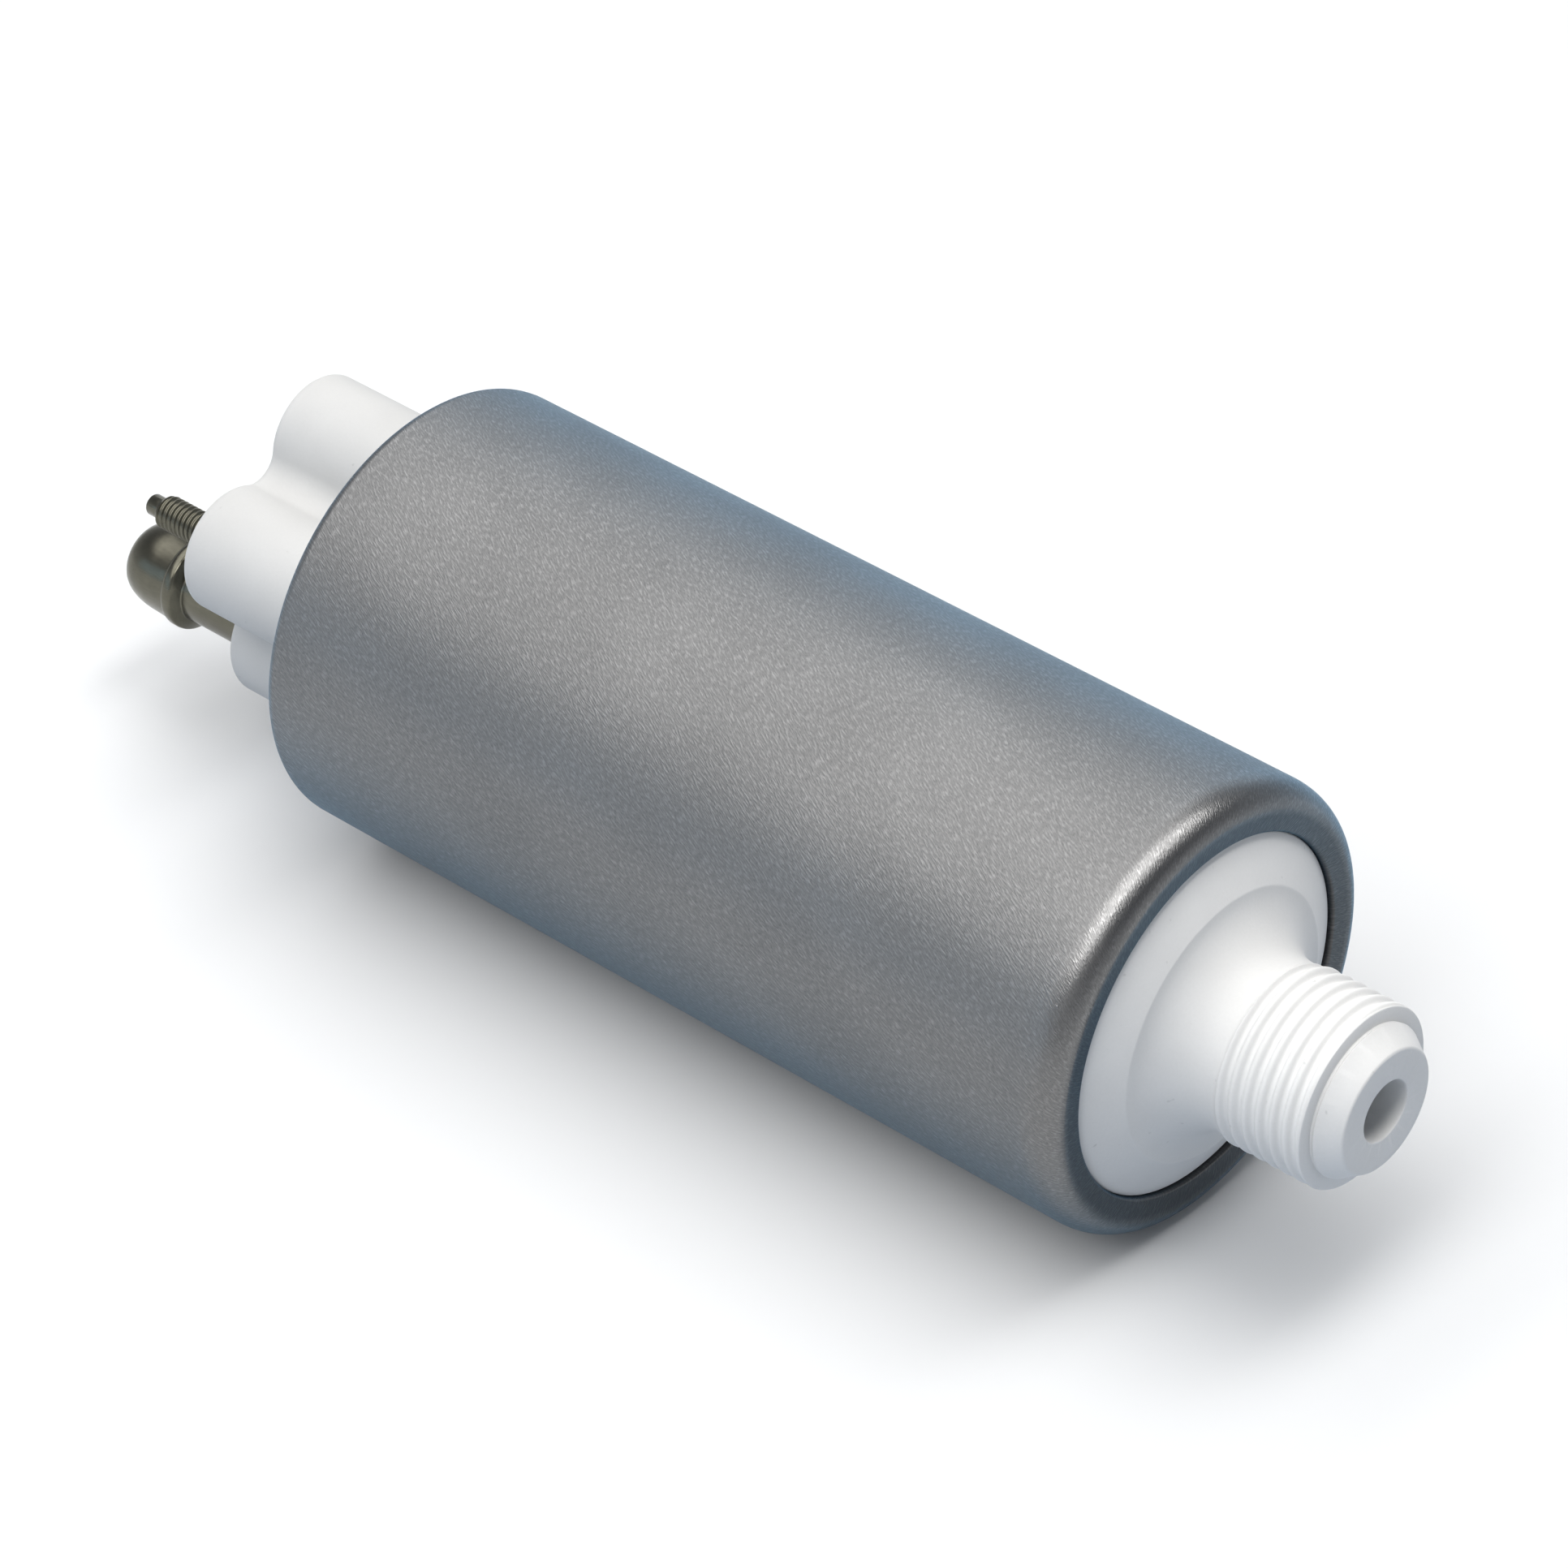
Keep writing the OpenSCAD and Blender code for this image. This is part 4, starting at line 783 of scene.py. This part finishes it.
enamel = noise(enamelled_copper, place_of(enamelled_copper, (3.0, 5.0, 5.0)), 3.0)
lay_on(enamelled_copper, enamel, shade=(0.85, 1.15), depth=0.01)
wound_coils.data.materials.append(enamelled_copper)
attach(wound_coils, "rotor")
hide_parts("windings")

# Commutator
# Copper segments in a moulded phenolic base. The brushes have polished brown rings on the copper, and short
# glass fibres show in the moulding.
copper = finish("copper", (0.62, 0.3, 0.17), 1.0, 0.26)
tracks = noise(copper, wrap_of(copper, 8.0, stretch=(6.0, 0.25)), 3.0, 0.7)
lay_on(copper, tracks, shade=(0.7, 1.12), rough=(0.12, -0.06), depth=0.004)
tarnish = noise(copper, place_of(copper, (0.7, 0.7, 0.7)), 4.0)
lay_on(copper, tarnish, shade=(0.75, 1.1), rough=(0.06, -0.04))
dress(copper, "commutator_segments")
phenolic = finish("phenolic", (0.055, 0.026, 0.015), 0.0, 0.42)
fibres = noise(phenolic, place_of(phenolic, (1.0, 6.0, 6.0)), 3.0, 0.7)
lay_on(phenolic, fibres, shade=(0.7, 1.7), rough=(0.08, -0.08), depth=0.006)
clouds = noise(phenolic, place_of(phenolic, (0.5, 0.5, 0.5)), 3.0)
lay_on(phenolic, clouds, shade=(0.8, 1.25), rough=(-0.05, 0.05))
dress(phenolic, "commutator_base", "drive_coupling")

# Bushes and washer
# Oil-filled bronze bushes pressed in the outlet plate and the outlet cap, and a nylon thrust washer between the
# front bush and the shaft's shoulder. Bronze also makes the check valve's poppet and retainer.
bronze = finish("bronze", (0.5, 0.33, 0.13), 1.0, 0.36)
oil_pores = noise(bronze, place_of(bronze, (7, 7, 7)), 2.0, 0.7)
lay_on(bronze, oil_pores, 0.3, 0.42, shade=(0.45, 1.0), rough=(0.2, 0.0), depth=0.012)
turned_rings = noise(bronze, place_of(bronze, (8.0, 0.3, 0.3)), 3.0)
lay_on(bronze, turned_rings, shade=(0.88, 1.1), rough=(0.05, -0.05), depth=0.003)
dress(bronze, "front_bush", "rear_bush", "check_poppet", "check_retainer")
washer_plastic = finish("washer_plastic", (0.6, 0.55, 0.4), 0.0, 0.45)
washer_flow = noise(washer_plastic, place_of(washer_plastic, (1.5, 1.5, 1.5)), 4.0)
lay_on(washer_plastic, washer_flow, shade=(0.88, 1.08), rough=(-0.05, 0.06), depth=0.006)
dress(washer_plastic, "thrust_washer")

# Brushes
# Square blocks of pressed carbon that slide in the cap's guides: matt grey-black, with a fine grain that glitters.
carbon = finish("carbon", (0.035, 0.035, 0.037), 0.15, 0.5)
pressed = noise(carbon, place_of(carbon, (3.0, 7.0, 7.0)), 3.0, 0.7)
lay_on(carbon, pressed, shade=(0.6, 1.6), rough=(0.12, -0.12), depth=0.01)
glitter = noise(carbon, place_of(carbon, (14, 14, 14)), 1.0)
lay_on(carbon, glitter, 0.62, 0.72, shade=(1.0, 4.0), rough=(0.0, -0.2))
dress(carbon, "brush_positive", "brush_negative")

# Terminal studs
# M3.5 x 0.6 plated steel studs pressed in the two terminal towers, each with a flat head inside and a plain point
# behind the thread. One is screwed and drawn, and the other copied from it across the axis.
STUD_R = 1.75
STUD_ROOT_R = 1.5
STUD_PITCH = 0.6
STUD_GROOVE_X = -70.0
STUD_LOW = -74.95
STUD_HIGH = -66.75
STUD_STEPS = 40
POLE_R = 0.001
stud_positive = screw(
    "stud_positive", STUD_LOW, STUD_HIGH, STUD_GROOVE_X, STUD_PITCH, STUD_R, STUD_ROOT_R, STUD_STEPS, POSITIVE_AT
)
pull(
    stud_positive,
    [(-66.62, 1.75), (-66.6, 1.95), (-66.5, 2.1), (-57.0, 2.1), (-57.0, 2.4), (-56.9, 2.5), (-55.7, 2.5)]
    + [(-55.6, 2.4), (-55.6, POLE_R)],
    POSITIVE_AT,
)
pick(stud_positive, STUD_LOW)
pull(
    stud_positive,
    [(-75.05, 1.62), (-75.5, 1.2), (-75.6, 1.12), (-75.7, 1.1), (-76.85, 1.1), (-77.0, 1.02), (-77.05, 0.9)]
    + [(-77.05, POLE_R)],
    POSITIVE_AT,
)
smooth(stud_positive)
plated_steel = finish("plated_steel", (0.13, 0.125, 0.098), 1.0, 0.22)
blotches = noise(plated_steel, place_of(plated_steel, (0.5, 0.5, 0.5)), 4.0, 0.6)
lay_on(plated_steel, blotches, shade=(0.88, 1.12), rough=(0.06, -0.03))
drawn = noise(plated_steel, place_of(plated_steel, (0.6, 7.0, 7.0)), 2.0)
lay_on(plated_steel, drawn, shade=(0.93, 1.07), depth=0.006)
stud_positive.data.materials.append(plated_steel)
take(stud_positive)
bpy.ops.object.duplicate()
stud_negative = bpy.context.object
stud_negative.name = stud_negative.data.name = "stud_negative"
bpy.ops.object.mode_set(mode="EDIT")
bpy.ops.mesh.select_all(action="SELECT")
apart = [(negative - positive) * MM for negative, positive in zip(NEGATIVE_AT, POSITIVE_AT)]
bpy.ops.transform.translate(value=(0, *apart))
bpy.ops.object.mode_set(mode="OBJECT")
for stud in (stud_positive, stud_negative):
    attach(stud, "housing")
    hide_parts("terminal_" + stud.name)

# Outlet tube
# Plated steel tube for the hose, turned from bar: a collar pressed in the outlet tower, a plain neck and one
# bullet-shaped barb. A wider room in its front end takes the check valve's stem.
outlet_tube = turn(
    "barbed_tube",
    [(-56.03, 3.0), (-56.03, 4.3), (-56.23, 4.5), (-66.45, 4.5), (-66.6, 4.35), (-66.6, 3.9), (-66.8, 3.7)]
    + [(-76.1, 3.7), (-76.3, 3.78), (-76.75, 4.7), (-76.9, 4.85), (-77.1, 4.9), (-77.75, 4.9), (-77.95, 4.84)]
    + [(-78.1, 4.68), (-78.2, 4.62)]
    + [(-80.3 - 4.1 * math.sin(a), 3.0 + 1.55 * math.cos(a)) for a in (math.radians(9 * i) for i in range(10))]
    + [(-84.4, 2.8), (-84.3, 2.6), (-84.1, 2.5), (-60.53, 2.5), (-60.53, 3.0), (-56.03, 3.0)],
    OUTLET_AT,
    steps=96,
)
outlet_tube.data.materials.append(plated_steel)
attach(outlet_tube, "housing")
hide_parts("outlet_tube")

# Springs
# Round spring wire wound with one closed turn at each end: two press the brushes, one closes the check valve, and
# one holds the relief valve's ball. Each is as long as its room.
WINDING_POINTS = 36
CLOSED_TURN = 0.56
CLOSED_PITCH = 0.12
BRUSH_ROOM = (-55.57, -43.06)
BRUSH_TRAVEL = 2.5


def wind(name, low, high, coil_r, wire_r, coils, middle):
    """A wire wound about the line through middle, with its end turns closed."""
    y, z = middle
    count = round(coils * WINDING_POINTS)
    steps = []
    for i in range(count):
        done = (i + 0.5) / WINDING_POINTS
        steps.append(CLOSED_PITCH if min(done, coils - done) < CLOSED_TURN else 1.0)
    total = sum(steps)
    travelled, path = 0.0, []
    for i in range(count + 1):
        angle = 2 * math.pi * i / WINDING_POINTS
        x = low + wire_r + (high - low - 2 * wire_r) * travelled / total
        path.append((x, y + coil_r * math.cos(angle), z + coil_r * math.sin(angle)))
        travelled += steps[min(i, count - 1)]
    wire = draw(name, path)
    bpy.ops.object.mode_set(mode="OBJECT")
    return smooth(thicken(name, [wire], wire_r, sides=4), angle=50)


SPRINGS = [
    ("brush_spring_positive", *BRUSH_ROOM, 1.9, 0.25, 9, POSITIVE_AT, "positive_brush_slide", BRUSH_TRAVEL),
    ("brush_spring_negative", *BRUSH_ROOM, 1.9, 0.25, 9, NEGATIVE_AT, "negative_brush_slide", BRUSH_TRAVEL),
    ("check_spring", -54.50, -49.56, 2.7, 0.2, 5, OUTLET_AT, "check_valve_slide", 2.5),
    ("relief_spring", -62.57, -50.85, 1.9, 0.25, 6, RELIEF_AT, "relief_valve_slide", 1.5),
]
for name, low, high, coil_r, wire_r, coils, middle, joint, travel in SPRINGS:
    spring = wind("wound_" + name, low, high, coil_r, wire_r, coils, middle)
    spring.data.materials.append(spring_steel)
    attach(spring, "housing")
    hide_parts(name)
    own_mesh(spring)

# Brush leads
# Bare copper rope inside each brush spring, from the stud's head to the brush: seven strands twisted together and
# bent in two loose turns.
LEAD_COIL_R = 0.6
LEAD_TURNS = 2
LEAD_TWISTS = 7
LEAD_POINTS = 84
STRANDS = 7
STRAND_OFF = 0.26
STRAND_R = 0.13
STRAND_ALONG = 0.5
STRAND_ACROSS = 0.85
STRAND_ENDS = 12
braid_copper = finish("braid_copper", (0.55, 0.26, 0.14), 1.0, 0.34)
oxide = noise(braid_copper, place_of(braid_copper, (1.5, 1.5, 1.5)), 4.0)
lay_on(braid_copper, oxide, shade=(0.6, 1.2), rough=(0.12, -0.08))
strand_skin = noise(braid_copper, place_of(braid_copper, (4.0, 9.0, 9.0)), 2.0)
lay_on(braid_copper, strand_skin, shade=(0.85, 1.1), depth=0.006)
low, high = BRUSH_ROOM
for lead_name, (y, z) in (("positive", POSITIVE_AT), ("negative", NEGATIVE_AT)):
    strands = []
    for strand in range(STRANDS):
        off = STRAND_OFF if strand else 0.0
        path = []
        for i in range(LEAD_POINTS + 1):
            part = i / LEAD_POINTS
            bend = 2 * math.pi * LEAD_TURNS * part
            twist = 2 * math.pi * (LEAD_TWISTS * part + strand / (STRANDS - 1))
            radius = LEAD_COIL_R + off * math.cos(twist)
            x = low + STRAND_R + (high - low - 2 * STRAND_R) * part
            slip = off * math.sin(twist) * min(1.0, STRAND_ENDS * part, STRAND_ENDS * (1 - part))
            across = slip * STRAND_ACROSS
            path.append((
                x + slip * STRAND_ALONG,
                y + radius * math.cos(bend) + across * math.sin(bend),
                z + radius * math.sin(bend) - across * math.cos(bend),
            ))
        strands.append(draw("strand", path))
        bpy.ops.object.mode_set(mode="OBJECT")
    lead = smooth(thicken("roped_lead_" + lead_name, strands, STRAND_R, sides=2), angle=60)
    lead.data.materials.append(braid_copper)
    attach(lead, "housing")
    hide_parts("brush_lead_" + lead_name)
    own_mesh(lead)

# Relief plug
# Small acetal disc pressed in the relief tower to back its spring, with a vent hole and a chamfered rim.
relief_plug = turn(
    "vented_plug",
    [(-62.6, 1.2), (-62.6, 3.75), (-62.85, 4.0), (-65.75, 4.0), (-66.0, 3.75), (-66.0, 2.2), (-65.5, 2.0)]
    + [(-65.5, 1.35), (-65.35, 1.2), (-62.6, 1.2)],
    RELIEF_AT,
    steps=64,
)
relief_plug.data.materials.append(acetal)
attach(relief_plug, "housing")
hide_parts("relief_plug")
